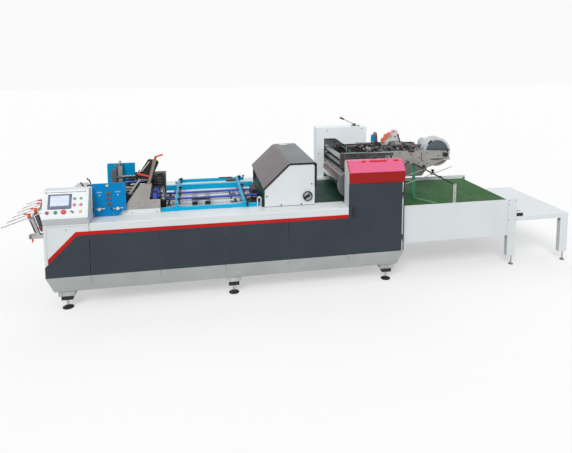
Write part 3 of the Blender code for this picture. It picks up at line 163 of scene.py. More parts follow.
# Each finish: its colour, a second one that it drifts to and its gloss, then grain and wear. Displays glow.
finishes = {
    "whitePaint": paint((0.7, 0.735, 0.75), (0.66, 0.7, 0.72), 0.36, peel=0.05),
    # A lighter copy of the white paint: painted light, used on the far frame.
    "brightWhite": paint((0.87, 0.92, 0.95), (0.84, 0.89, 0.92), 0.33, peel=0.05),
    "paleTable": paint((0.72, 0.755, 0.775), (0.7, 0.735, 0.755), 0.42, peel=0.04, dust=0.08),
    "greyPaint": paint((0.49, 0.515, 0.51), (0.43, 0.455, 0.45), 0.5, peel=0.08, patch=5.0, dust=0.3,
        low=0.45, wear=0.3),
    "darkPaint": paint((0.04, 0.052, 0.064), (0.034, 0.044, 0.056), 0.47, peel=0.22, scale=420.0, dust=0.2,
        worn=(0.14, 0.15, 0.16), shine=0.2),
    "redPaint": paint((0.56, 0.01, 0.008), (0.46, 0.007, 0.006), 0.34, peel=0.04, worn=(0.7, 0.25, 0.22),
        shine=0.2),
    "capRed": paint((0.34, 0.004, 0.003), (0.3, 0.003, 0.003), 0.22, peel=0.03, coat=0.15, shine=0.2),
    "bandPink": paint((0.7, 0.13, 0.255), (0.66, 0.112, 0.225), 0.25, peel=0.03, coat=0.2, shine=0.2),
    "framePaint": paint((0.56, 0.575, 0.575), (0.46, 0.475, 0.475), 0.5, peel=0.06, low=0.7, dust=0.4,
        wear=0.35),
    "hoodEnamel": paint((0.108, 0.078, 0.084), (0.098, 0.074, 0.082), 0.2, peel=0.01, metal=0.3, coat=0.3,
        patch=1.2),
    # The same hood enamel turned blue-grey: a painted sky reflection for the hood's top face.
    "hoodTopReflection": paint((0.06, 0.082, 0.105), (0.052, 0.072, 0.094), 0.2, peel=0.01, metal=0.3, coat=0.3,
        patch=1.2),
    "bluePaint": paint((0.0, 0.225, 0.54), (0.0, 0.2, 0.49), 0.33, peel=0.04, worn=(0.1, 0.32, 0.6),
        shine=0.12),
    "rearBlue": paint((0.0, 0.265, 0.56), (0.0, 0.36, 0.64), 0.33, peel=0.04, patch=1.5,
        worn=(0.1, 0.32, 0.6), shine=0.12),
    "lightBlue": paint((0.0, 0.4, 0.66), (0.0, 0.36, 0.6), 0.32, peel=0.05, worn=(0.25, 0.5, 0.72),
        shine=0.15),
    "navyPaint": paint((0.035, 0.075, 0.46), (0.028, 0.06, 0.38), 0.25, peel=0.03, coat=0.3),
    "machinedPlate": paint((0.4, 0.385, 0.365), (0.31, 0.3, 0.285), 0.42, metal=0.45, patch=7.0,
        grain=(1, 1, 22), peel=0.1, wear=0.3, worn=(0.62, 0.6, 0.58)),
    "darkCasting": paint((0.1, 0.105, 0.108), (0.055, 0.058, 0.062), 0.5, metal=0.5, patch=16.0, peel=0.2,
        scale=160.0, worn=(0.38, 0.38, 0.38), wear=0.4),
    "brightSteel": paint((0.5, 0.505, 0.51), (0.4, 0.405, 0.41), 0.3, metal=1.0, patch=12.0,
        grain=(1, 1, 30), peel=0.05),
    "polishedSteel": paint((0.52, 0.5, 0.485), (0.4, 0.375, 0.36), 0.14, metal=1.0, patch=5.0,
        grain=(30, 1, 30), peel=0.012),
    "brownSteel": paint((0.19, 0.125, 0.095), (0.115, 0.08, 0.066), 0.28, metal=0.6, patch=6.0,
        grain=(30, 1, 30), peel=0.03),
    "darkSteel": paint((0.2, 0.195, 0.19), (0.12, 0.115, 0.115), 0.24, metal=0.9, patch=9.0,
        grain=(30, 1, 30), peel=0.03),
    "agedBrass": paint((0.4, 0.26, 0.1), (0.28, 0.19, 0.09), 0.38, metal=0.9, patch=20.0),
    "blackPlastic": paint((0.016, 0.016, 0.018), (0.026, 0.026, 0.028), 0.42, peel=0.12, scale=700.0,
        dust=0.08, worn=(0.1, 0.1, 0.1), shine=0.3),
    "rubber": paint((0.02, 0.021, 0.022), (0.032, 0.033, 0.035), 0.72, peel=0.25, scale=500.0, dust=0.12,
        shine=0.15),
    "belting": paint((0.022, 0.1, 0.022), (0.027, 0.115, 0.028), 0.55, peel=0.18, patch=2.2, scale=650.0,
        dust=0.05, shine=0.12),
    # A darker copy of the belting: painted shade for belts under the hood and the drum.
    "shadedBelting": paint((0.003, 0.04, 0.022), (0.005, 0.052, 0.03), 0.45, peel=0.18, patch=2.2,
        scale=650.0, dust=0.05, shine=0.12),
    "bedSteel": paint((0.42, 0.43, 0.44), (0.33, 0.34, 0.35), 0.4, metal=0.9, grain=(1, 24, 1), peel=0.08,
        patch=6.0),
    "filmRoll": paint((0.62, 0.64, 0.66), (0.5, 0.51, 0.54), 0.2, coat=0.6, patch=9.0, grain=(1, 60, 1),
        peel=0.05),
    # A warmer, darker film colour for the lower part of the roll's face.
    "filmLowerFace": paint((0.62, 0.4, 0.33), (0.54, 0.4, 0.38), 0.25, coat=0.5, patch=9.0),
    "flangeGrey": paint((0.085, 0.115, 0.13), (0.07, 0.095, 0.112), 0.34, peel=0.05, coat=0.2),
    "orangePlastic": paint((0.72, 0.075, 0.018), (0.62, 0.055, 0.014), 0.36, peel=0.05),
    "coralPlastic": paint((0.84, 0.2, 0.12), (0.78, 0.16, 0.09), 0.34, peel=0.05),
    "clearGrey": paint((0.62, 0.65, 0.64), (0.5, 0.53, 0.52), 0.12, coat=0.8, patch=14.0),
    "screenFrame": paint((0.06, 0.085, 0.165), (0.05, 0.07, 0.14), 0.35, peel=0.06),
    "buttonGreen": paint((0.0, 0.29, 0.13), (0.0, 0.26, 0.11), 0.3),
    "buttonRed": paint((0.82, 0.075, 0.09), (0.76, 0.06, 0.075), 0.3),
    "buttonRose": paint((0.8, 0.12, 0.2), (0.74, 0.1, 0.17), 0.3),
    "buttonCrimson": paint((0.42, 0.035, 0.1), (0.38, 0.03, 0.09), 0.3),
    "buttonYellow": paint((0.78, 0.46, 0.035), (0.7, 0.4, 0.03), 0.3),
    "ivoryKnob": paint((0.7, 0.66, 0.56), (0.62, 0.58, 0.48), 0.35, patch=20.0),
    "counterDark": paint((0.055, 0.028, 0.03), (0.04, 0.02, 0.022), 0.2, coat=0.5),
    "anodised": paint((0.235, 0.24, 0.24), (0.18, 0.185, 0.185), 0.42, metal=0.7, grain=(24, 24, 1),
        peel=0.06, patch=10.0),
    "indicator": paint((0.45, 0.72, 0.50), (0.4, 0.66, 0.45), 0.2, coat=0.5),
    "labelPlate": paint((0.30, 0.50, 0.66), (0.26, 0.46, 0.62), 0.4),
    "postSteel": paint((0.36, 0.28, 0.255), (0.27, 0.215, 0.20), 0.36, metal=0.8, patch=18.0,
        grain=(1, 1, 20), worn=(0.6, 0.55, 0.5)),
    "tongueGreen": paint((0.055, 0.235, 0.135), (0.045, 0.20, 0.115), 0.34, patch=6.0, shine=0.15),
    "display": paint((0.40, 0.46, 0.62), (0.376, 0.4324, 0.5828), 0.3, coat=0.15, peel=0.0, dust=0.0,
        patch=8.0, glow=0.12),
    "displayTile": paint((0.43, 0.49, 0.64), (0.4042, 0.4606, 0.6016), 0.3, coat=0.15, peel=0.0, dust=0.0,
        patch=8.0, glow=0.12),
}


def makeFinish(name, look):
    material = bpy.data.materials.new(name)
    material.use_nodes = True
    tree = material.node_tree
    shader = tree.nodes["Principled BSDF"]
    shader.inputs["Metallic"].default_value = look.get("metal", 0.0)
    shader.inputs["Coat Weight"].default_value = look.get("coat", 0.0)
    shader.inputs["Coat Roughness"].default_value = 0.12
    shader.inputs["Specular IOR Level"].default_value = look.get("shine", 0.35)
    place = addNode(tree, "TexCoord").outputs["Object"]

    def placeGroup(kind, plugs):
        node = tree.nodes.new("ShaderNodeGroup")
        node.node_tree = effects[kind]
        for key, value in plugs.items():
            if isinstance(value, bpy.types.NodeSocket):
                tree.links.new(value, node.inputs[key])
            else:
                node.inputs[key].default_value = value
        return node.outputs

    mottle = placeGroup("mottle", {"Vector": place, "Scale": look.get("patch", 3.0), "Contrast": 0.85})
    paint = addMix(tree, mottle["Cloud"], (*look["colour"], 1.0), (*look["drift"], 1.0))
    dust = placeGroup("dust", {"Vector": place, "Lying": look.get("dust", 0.15),
                               "Reach": 0.05 + 0.4 * look.get("low", 0.1)})
    paint = addMix(tree, dust["Top"], paint, (0.5, 0.49, 0.47, 1.0))
    lowDarkening = addMath(tree, "MULTIPLY", dust["Low"], look.get("low", 0.1))
    paint = addMix(tree, lowDarkening, paint, (0.12, 0.115, 0.105, 1.0))
    edge = addNode(tree, "Attribute", attribute_name="edge").outputs["Fac"]
    worn = placeGroup("edgeWear", {"Vector": place, "Edge": edge, "Amount": look.get("wear", 0.22)})
    bare = look.get("worn", tuple(0.6 * part + 0.3 for part in look["colour"]))
    paint = addMix(tree, worn["Mask"], paint, (*bare, 1.0))
    tree.links.new(paint, shader.inputs["Base Color"])

    rough = look["rough"]
    gloss = addNode(tree, "MapRange", {0: mottle["Fine"], 1: 0.3, 2: 0.7, 3: rough * 0.82, 4: rough * 1.2})
    dull = addMath(tree, "MAXIMUM", gloss.outputs[0], addMath(tree, "MULTIPLY", dust["Top"], 0.8))
    tree.links.new(dull, shader.inputs["Roughness"])
    grain = placeGroup("grain", {"Vector": place, "Scale": look.get("scale", 240.0),
                                 "Stretch": look.get("grain", (1, 1, 1))})
    bump = addNode(tree, "Bump", {"Strength": look.get("peel", 0.05), "Distance": 0.002,
                                  "Height": grain["Height"]})
    tree.links.new(bump.outputs[0], shader.inputs["Normal"])
    if "glow" in look:
        shader.inputs["Emission Color"].default_value = (*look["colour"], 1.0)
        shader.inputs["Emission Strength"].default_value = look["glow"]
    return material


materials = {name: makeFinish(name, look) for name, look in finishes.items()}
print("finishes made:", len(materials))


# Shapes: each function gives a bmesh that a piece is put together from.


def roundEdges(shape, width, segments=2, sharper=35.0):
    edge = shape.faces.layers.float.get("edge") or shape.faces.layers.float.new("edge")
    if width <= 0:
        return shape
    turned = [e for e in shape.edges if len(e.link_faces) == 2
              and e.calc_face_angle(0.0) > math.radians(sharper)]
    if turned:
        made = bmesh.ops.bevel(shape, geom=turned, offset=width, offset_type="OFFSET", affect="EDGES",
                               segments=segments, profile=0.5, material=-1, clamp_overlap=True)
        for face in made["faces"]:
            face[edge] = 1.0
    return shape


def moveShape(shape, matrix):
    bmesh.ops.transform(shape, matrix=matrix, verts=shape.verts)
    if matrix.determinant() < 0:
        bmesh.ops.reverse_faces(shape, faces=shape.faces)
    return shape


def turnedTo(centre, direction):
    # Local Z goes along the direction, from the centre.
    facing = Vector(direction).normalized().to_track_quat("Z", "Y").to_matrix().to_4x4()
    return Matrix.Translation(centre) @ facing


def blockShape(low, high, soft=0.0015):
    shape = bmesh.new()
    low, high = Vector(low), Vector(high)
    bmesh.ops.create_cube(shape, size=1.0)
    bmesh.ops.scale(shape, vec=high - low, verts=shape.verts)
    bmesh.ops.translate(shape, vec=(low + high) / 2, verts=shape.verts)
    return roundEdges(shape, soft)


def boxAt(centre, size, soft=0.0015, lean=None):
    half = Vector(size) / 2
    shape = blockShape(-half, half, soft)
    return moveShape(shape, Matrix.Translation(centre) @ (lean.to_4x4() if lean else Matrix.Identity(4)))


def discShape(centre, direction, radius, depth, soft=0.001, sides=24, tip=None):
    # A disc or bar that starts at the centre and goes along the direction.
    shape = bmesh.new()
    bmesh.ops.create_cone(shape, cap_ends=True, segments=sides, radius1=radius,
                          radius2=radius if tip is None else tip, depth=depth)
    bmesh.ops.translate(shape, vec=(0, 0, depth / 2), verts=shape.verts)
    roundEdges(shape, soft, 2, 50.0)
    return moveShape(shape, turnedTo(centre, direction))


def barShape(first, last, radius, sides=14, soft=0.0008, tip=None):
    first, last = Vector(first), Vector(last)
    return discShape(first, last - first, radius, (last - first).length, soft, sides, tip)


def latheShape(centre, direction, profile, sides=32):
    # The profile is pairs of radius and distance along the direction.
    shape = bmesh.new()
    points = [shape.verts.new((radius, 0.0, along)) for radius, along in profile]
    edges = [shape.edges.new(pair) for pair in zip(points, points[1:])]
    bmesh.ops.spin(shape, geom=points + edges, cent=(0, 0, 0), axis=(0, 0, 1), angle=math.tau,
                   steps=sides, use_merge=True)
    bmesh.ops.remove_doubles(shape, verts=shape.verts, dist=0.00002)
    bmesh.ops.recalc_face_normals(shape, faces=shape.faces)
    roundEdges(shape, 0.0)
    return moveShape(shape, turnedTo(centre, direction))


def plateShape(outline, depth, soft=0.001):
    # The outline's points lie in one plane; the depth is a vector from it to the other face.
    shape = bmesh.new()
    face = shape.faces.new([shape.verts.new(point) for point in outline])
    grown = bmesh.ops.extrude_face_region(shape, geom=[face])["geom"]
    moved = [part for part in grown if isinstance(part, bmesh.types.BMVert)]
    bmesh.ops.translate(shape, vec=depth, verts=moved)
    bmesh.ops.recalc_face_normals(shape, faces=shape.faces)
    return roundEdges(shape, soft)


def tubeShape(points, radius, sides=8):
    # A bent rod or wire: a ring carried from point to point, turned to halve each bend.
    shape = bmesh.new()
    points = [Vector(point) for point in points]
    rings = []
    for number, point in enumerate(points):
        before = (point - points[max(number - 1, 0)]).normalized()
        after = (points[min(number + 1, len(points) - 1)] - point).normalized()
        ring = bmesh.ops.create_circle(shape, segments=sides, radius=radius)["verts"]
        facing = (before + after).normalized().to_track_quat("Z", "Y").to_matrix().to_4x4()
        bmesh.ops.transform(shape, matrix=Matrix.Translation(point) @ facing, verts=ring)
        rings.append(ring)
    for first, second in zip(rings, rings[1:]):
        loops = [edge for edge in shape.edges if {*edge.verts} <= {*first} or {*edge.verts} <= {*second}]
        bmesh.ops.bridge_loops(shape, edges=loops)
    shape.faces.new(rings[0])
    shape.faces.new(rings[-1])
    bmesh.ops.recalc_face_normals(shape, faces=shape.faces)
    return roundEdges(shape, 0.0)


def hexBolt(centre, direction, across=0.016):
    # Hexagon head on a washer, as (shape, finish) pairs.
    base, direction = Vector(centre), Vector(direction).normalized()
    head = base + direction * across * 0.1
    return [(discShape(base, direction, across * 0.72, across * 0.12, 0.0004), "brightSteel"),
            (discShape(head, direction, across * 0.577, across * 0.42, across * 0.05, 6), "brightSteel")]


def capScrew(centre, direction, radius=0.006, finish="blackPlastic"):
    # Socket head screw with its hollow drive.
    profile = [(0.0, radius * 0.35), (radius * 0.52, radius * 0.35), (radius * 0.52, radius * 0.95),
               (radius * 0.85, radius * 1.0), (radius, radius * 0.85), (radius, 0.0), (0.0, 0.0)]
    return [(latheShape(centre, direction, profile, 16), finish)]


def fixings(kind, depth, places, direction, *sizes):
    # The same screw or bolt at each (x, z) place of one face.
    return [part for x, z in places for part in kind(at(x, depth, z), direction, *sizes)]


def starKnob(centre, direction, radius=0.018, depth=0.014, finish="blackPlastic", lobes=5):
    # Lobed grip on a short stem.
    shape = bmesh.new()
    bmesh.ops.create_cone(shape, cap_ends=True, segments=lobes * 4, radius1=radius, radius2=radius * 0.86,
                          depth=depth)
    for vert in shape.verts:
        swell = 1.0 + 0.14 * math.cos(lobes * math.atan2(vert.co.y, vert.co.x))
        vert.co.x *= swell
        vert.co.y *= swell
    roundEdges(shape, depth * 0.16, 2, 50.0)
    direction = Vector(direction).normalized()
    moveShape(shape, turnedTo(Vector(centre) + direction * depth * 1.1, direction))
    stem = discShape(centre, direction, radius * 0.45, depth * 0.8, 0.0005, 12)
    return [(shape, finish), (stem, finish)]


def clampLever(centre, direction, reach, finish="orangePlastic", size=1.0):
    # Ratchet lever: a hub with a bent, tapering grip.
    centre, direction = Vector(centre), Vector(direction).normalized()
    top = centre + direction * 0.022 * size
    return [(discShape(centre, direction, 0.009 * size, 0.028 * size, 0.002, 16), finish),
            (barShape(top, top + Vector(reach), 0.0055 * size, 10, 0.001, 0.0075 * size), finish)]


# The same shapes as (shape, finish) pairs. A plain triple is a place as in at(); a vector is already
# placed.


def placed(point):
    return point if isinstance(point, Vector) else at(*point)


def section(depth, points):
    # An outline of (x, z) points that all lie at one depth in the machine.
    return [at(x, depth, z) for x, z in points]


def block(low, high, finish, soft=0.0015):
    return blockShape(placed(low), placed(high), soft), finish


def blocks(table):
    return [block(*entry) for entry in table]


def against(face, table):
    # Low blocks on a face that looks to the front: (x, z) corners, thickness, finish and edge.
    return [block((low[0], face - thick, low[1]), (high[0], face, high[1]), finish, soft)
            for low, high, thick, finish, soft in table]


def box(centre, size, finish, soft=0.0015, lean=None):
    return boxAt(placed(centre), size, soft, lean), finish


def disc(centre, direction, radius, depth, finish, soft=0.001, sides=24):
    return discShape(placed(centre), direction, radius, depth, soft, sides), finish


def bar(first, last, radius, finish, sides=14, soft=0.0008, tip=None):
    return barShape(placed(first), placed(last), radius, sides, soft, tip), finish


def lathe(centre, direction, profile, finish, sides=32):
    return latheShape(placed(centre), direction, profile, sides), finish


def plate(outline, depth, finish, soft=0.001):
    return plateShape([placed(point) for point in outline], depth, soft), finish


def tube(points, radius, finish):
    return tubeShape([placed(point) for point in points], radius), finish


def makePiece(name, parts, replaces=(), body="root"):
    # One object from (shape, finish) pairs, with a material for each finish.
    mesh = bpy.data.meshes.new(name)
    used = []
    whole = bmesh.new()
    whole.faces.layers.float.new("edge")
    for shape, finish in parts:
        if finish not in used:
            used.append(finish)
        for face in shape.faces:
            face.material_index = used.index(finish)
        part = bpy.data.meshes.new("part")
        shape.to_mesh(part)
        shape.free()
        whole.from_mesh(part)
        bpy.data.meshes.remove(part)
    for face in whole.faces:
        face.smooth = True
    for seam in whole.edges:
        seam.smooth = len(seam.link_faces) == 2 and seam.calc_face_angle(0.0) < math.radians(40.0)
    whole.to_mesh(mesh)
    whole.free()
    for finish in used:
        mesh.materials.append(materials[finish])
    piece = bpy.data.objects.new(name, mesh)
    bpy.context.scene.collection.objects.link(piece)
    shading = piece.modifiers.new("evenNormals", "WEIGHTED_NORMAL")
    shading.keep_sharp = True
    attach(piece, body)
    if replaces:
        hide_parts(*replaces)
    return piece


def paintFaces(piece, finish, chosen):
    # Gives another finish to the faces that the test picks by their place and direction.
    mesh = piece.data
    mesh.materials.append(materials[finish])
    for face in mesh.polygons:
        if chosen(face.center - at(0, 0, 0), face.normal):
            face.material_index = len(mesh.materials) - 1


def copyNode(node, soft=0.0015, segments=2):
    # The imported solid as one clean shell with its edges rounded.
    shape = bmesh.new()
    shape.from_mesh(frame["nodes"][node].data)
    bmesh.ops.remove_doubles(shape, verts=shape.verts, dist=0.00001)
    bmesh.ops.dissolve_limit(shape, angle_limit=math.radians(1.0), use_dissolve_boundaries=False,
                             verts=shape.verts, edges=shape.edges)
    return roundEdges(shape, soft, segments)


def camel(name):
    words = name.split("_")
    return words[0] + "".join(word.capitalize() for word in words[1:])


def dressNode(node, finish, soft):
    # Stands for a node with its own shell.
    return makePiece(camel(node) + "Body", [(copyNode(node, soft), finish)], [node],
                     body=bodyOf[node])


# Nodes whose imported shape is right: finish and edge radius.
plainNodes = {
    "front_housing": ("whitePaint", 0.004), "back_housing": ("whitePaint", 0.004),
    "front_kick_plate": ("greyPaint", 0.003), "back_kick_plate": ("greyPaint", 0.003),
    "bed_plate": ("paleTable", 0.002), "left_end_panel": ("whitePaint", 0.002),
    "right_end_panel": ("whitePaint", 0.002), "front_panel_1": ("darkPaint", 0.0025),
    "front_panel_2": ("darkPaint", 0.0025), "front_panel_3": ("darkPaint", 0.0025),
    "front_panel_4": ("darkPaint", 0.0025), "front_panel_5": ("darkPaint", 0.0025),
    "front_stripe": ("redPaint", 0.001),
    "control_cabinet": ("whitePaint", 0.003), "console_box": ("whitePaint", 0.002),
    "near_side_frame": ("machinedPlate", 0.002), "tall_door": ("darkPaint", 0.002),
    "far_side_plate": ("darkCasting", 0.002), "arm_plate_far": ("machinedPlate", 0.002),
    "arm_beam": ("darkCasting", 0.003), "delivery_bed": ("bedSteel", 0.0),
    "patch_bed": ("bedSteel", 0.0), "delivery_belt": ("belting", 0.0),
    # The patch belt is in the darker belting copy: painted shade under the drum.
    "patch_belt": ("shadedBelting", 0.0),
}


# Heights just above the surfaces that many pieces stand on: rail, bed and film arm.
railTop = 0.8503
railClear = 0.8505
bedTop = 0.8003
armTop = 1.3103
# How far a fitting keeps off the face behind it.
clearance = 0.0002

# Console: places on its leaning face are (along the machine, up the slope).
console = dict(
    foldOut=-0.045, foldHeight=0.925, leanIn=0.115, rise=0.24, plateLow=(0.019, 0.012),
    plateHigh=(0.386, 0.257), bezelLow=(0.05, 0.091), bezelHigh=(0.254, 0.227),
    glassLow=(0.071, 0.118), glassHigh=(0.233, 0.214), slotHeight=0.246, slotEnds=(0.029, 0.374),
    buttons=( (0.281, 0.183, 0.0115, "buttonGreen", False), (0.336, 0.183, 0.0115, "buttonGreen", False),
        (0.281, 0.124, 0.0125, "buttonRose", False), (0.337, 0.124, 0.0125, "buttonRose", False),
        (0.048, 0.06, 0.015, "buttonCrimson", False), (0.121, 0.06, 0.015, "buttonGreen", False),
        (0.19, 0.062, 0.0205, "buttonRed", True), (0.335, 0.06, 0.012, "buttonYellow", False)),
    doorGaps=(((0.026, -0.0006, 0.522), (0.0275, 0.0006, 0.835)),
        ((0.026, -0.0006, 0.8335), (0.38, 0.0006, 0.835)),
        ((0.3785, -0.0006, 0.79), (0.38, 0.0006, 0.835))),
    hingeHeights=(0.56, 0.78),
    sheetOutline=((0.15, 0.865), (0.33, 0.865), (0.33, 1.14), (0.229, 1.135), (0.177, 1.089), (0.15, 1.06)),
    selector=(0.265, 0.06, 0.002), leverHub=(0.334, 0.44, 1.104),
    tiles=[((0.006, 0.08), (0.156, 0.09)), ((0.006, 0.05), (0.05, 0.074)), ((0.056, 0.05), (0.1, 0.074)),
        ((0.106, 0.05), (0.156, 0.074)), ((0.006, 0.008), (0.076, 0.042)),
        ((0.082, 0.008), (0.156, 0.042))],
)


def onFace(x, up, out=0.0):
    slope = Vector((0.0, console["leanIn"], console["rise"])).normalized()
    normal = Vector((0.0, -slope.z, slope.y))
    return at(x, console["foldOut"], console["foldHeight"]) + slope * up + normal * out


faceNormal = (onFace(0, 0, 1) - onFace(0, 0, 0)).normalized()


def faceSheet(low, high, start, thick, soft=0.0008):
    corners = [onFace(low[0], low[1], start), onFace(high[0], low[1], start),
               onFace(high[0], high[1], start), onFace(low[0], high[1], start)]
    return plateShape(corners, faceNormal * thick, soft)


def pushButton(x, up, radius, finish, mushroom=False):
    # Bright collar, then a domed cap or a mushroom head.
    base = onFace(x, up, 0.002)
    collar = latheShape(base, faceNormal, [(0.0, 0.0), (radius * 1.18, 0.0), (radius * 1.18, 0.003),
                                           (radius * 0.98, 0.005), (0.0, 0.005)], 28)
    if mushroom:
        cap = [(0.0, 0.0), (radius * 0.55, 0.004), (radius * 0.55, 0.01), (radius, 0.011),
               (radius, 0.015), (radius * 0.82, 0.019), (radius * 0.4, 0.0215), (0.0, 0.022)]
    else:
        cap = [(0.0, 0.0), (radius * 0.88, 0.004), (radius * 0.88, 0.01), (radius * 0.72, 0.012),
               (0.0, 0.0125)]
    return [(collar, "brightSteel"), lathe(base, faceNormal, cap, finish, 28)]


def buildConsole():
    parts = [(faceSheet(console["plateLow"], console["plateHigh"], 0.0003, 0.0017), "whitePaint")]
    slot, (left, right) = console["slotHeight"], console["slotEnds"]
    parts.append((faceSheet((left, slot - 0.0022), (right, slot + 0.0022), 0.0019, 0.0012, 0.0003),
                  "darkCasting"))
    for x in (left, right):
        parts += capScrew(onFace(x, slot, 0.002), faceNormal, 0.005)
    for x, up, radius, finish, mushroom in console["buttons"]:
        parts += pushButton(x, up, radius, finish, mushroom)
    # Selector switch: white half disc and a black handle across it.
    base = onFace(*console["selector"])
    turn = faceNormal.to_track_quat("Z", "Y").to_matrix() @ Matrix.Rotation(math.radians(60), 3, "Z")
    parts += [disc(base, faceNormal, 0.0145, 0.006, "whitePaint", 0.001, 28),
              box(base + faceNormal * 0.011, (0.011, 0.03, 0.011), "blackPlastic", 0.0015, turn)]
    makePiece("consoleControls", parts, ["console_controls"])

    # Touch screen: a deep blue-grey frame round a pale display with plain tiles.
    low, high = Vector(console["bezelLow"]), Vector(console["bezelHigh"])
    glassLow, glassHigh = Vector(console["glassLow"]), Vector(console["glassHigh"])
    body = faceSheet(low, high, 0.002, 0.007, 0.002)
    front = max(body.faces, key=lambda face: face.calc_center_median().dot(faceNormal))
    bmesh.ops.inset_region(body, faces=[front], thickness=0.006, depth=-0.0015)
    glass = faceSheet(glassLow, glassHigh, 0.0088, 0.0008, 0.0002)
    parts = [(body, "screenFrame"), (glass, "display")]
    parts += [(faceSheet(glassLow + Vector(first), glassLow + Vector(last), 0.0096, 0.0002, 0.0),
                  "displayTile")
              for first, last in console["tiles"]]
    makePiece("touchScreen", parts, ["touch_screen"])

    # Cabinet under it: lock, door gap, and hinge pins at the left side.
    parts = [disc((0.197, -0.0003, 0.8), -inward, 0.0065, 0.0025, "brightSteel", 0.0008)]
    parts += [block(low, high, "anodised", 0.0) for low, high in console["doorGaps"]]
    parts += [bar((-0.0006, 0.02, height), (-0.0006, 0.02, height + 0.05), 0.004, "whitePaint")
              for height in console["hingeHeights"]]
    makePiece("cabinetLock", parts)

    # Paper guide behind the console: a white sheet and two black clamp levers on a bar.
    sheet = plate(section(0.45, console["sheetOutline"]), inward * 0.003, "whitePaint", 0.0006)
    hub = at(*console["leverHub"])
    parts = [sheet,
             bar((0.334, 0.1783, 1.1), (0.334, 0.47, 1.1), 0.01, "brightSteel"),
             box(hub, (0.04, 0.024, 0.026), "blackPlastic", 0.004),
             tube([hub, (0.29, 0.44, 1.084), (0.254, 0.44, 1.146)], 0.0065, "blackPlastic"),
             tube([hub, (0.352, 0.44, 1.12), (0.34, 0.44, 1.16), (0.314, 0.44, 1.184)], 0.007,
                 "blackPlastic"),
             disc((0.36, 0.43, 1.112), -inward, 0.012, 0.01, "brightSteel", 0.002)]
    makePiece("paperGuide", parts)


buildConsole()
print("console built")

# Feeder: the front plate's counters and knobs, the rear plate's slide, the guard and its post.
feeder = dict(
    frontFace=0.2, rearFace=0.75, guardFace=0.235, counters=(1.067, 1.015, 0.963),
    counterLeft=0.532, counterSize=(0.047, 0.026), windowLifts=(0.004, 0.0145), knobs=(0.468, 0.639),
    knobHeight=0.928, tableRodEnds=(0.56, 0.985), headDepth=0.56, headRight=1.074, wheels=3, wheelHoles=6,
    brassPins=(1.06, 1.035, 1.01, 0.985, 0.962),
    frontScrews=((0.418, 0.868), (0.6, 0.868), (0.418, 1.15), (0.7, 1.15)),
    slideLines=(1.105, 1.155),
    rearScrews=((0.555, 1.236), (0.618, 1.236), (0.555, 1.045), (0.618, 1.045), (0.52, 1.195),
        (0.52, 1.07)),
    tableRods=((1.118, 0.7, 0.011), (1.07, 0.64, 0.011), (1.02, 0.58, 0.012), (0.985, 0.52, 0.012)),
    tableBelts=(0.345, 0.42, 0.5, 0.58, 0.66, 0.73),
    pressRollers=((0.69, 1.092), (0.7, 1.064), (0.69, 1.036)),
    tableBolts=((0.672, 1.0), (0.672, 0.93), (0.74, 0.96), (0.74, 0.89), (0.81, 0.93)),
    headRods=((1.16, 0.64, "darkSteel", 0.01), (1.128, 0.7, "blackPlastic", 0.012),
        (1.098, 0.66, "navyPaint", 0.009), (1.07, 0.72, "brightSteel", 0.008),
        (1.04, 0.7, "blackPlastic", 0.012)),
    headRings=(0.8, 0.87, 0.94, 1.01, 1.06), headPosts=(0.79, 1.056),
    flangeScrews=(0.707, 0.767, 1.001),
    guardPins=((0.833, 0.955), (0.899, 0.963), (0.772, 0.925), (0.985, 0.96)),
    guardBolts=((0.872, 1.105), (0.935, 1.105), (0.905, 1.06)),
    coverRibs=((0.995, 1.15, 0.05), (1.0, 1.12, 0.05), (1.005, 1.09, 0.045), (1.01, 1.02, 0.04)),
    coverScrews=((0.955, 1.318), (0.93, 1.205), (1.06, 1.188), (1.06, 0.985), (0.995, 1.185)),
    wheelRibs=(0.006, 0.013, 0.02), gears=((1.052, 1.052), (1.058, 1.005), (1.062, 0.978)),
    tableOutline=((0.66, railClear), (0.9, railClear), (0.9, 0.965), (0.88, 0.985), (0.7, 1.05),
        (0.66, 1.045)),
    flangeOutline=((0.6425, railClear), (1.036, railClear), (1.036, 0.893), (0.672, 0.893)),
    knobProfile=[(0.0, 0.0), (0.007, 0.0), (0.007, 0.01), (0.015, 0.012), (0.0165, 0.017), (0.0155, 0.023),
        (0.01, 0.027), (0.0, 0.028)],
    wheelRing=[(0.022, 0.0), (0.03, 0.0), (0.03, 0.002), (0.022, 0.002), (0.022, 0.0)],
    guardRod=((0.712, 0.259, 1.006), (0.842, 0.259, 1.186)),
    postRod=((0.895, 0.2626, 1.02), (0.992, 0.2626, 1.375)), wheelAxle=(0.985, 0.277, 1.03),
    wheelStep=0.044,
)


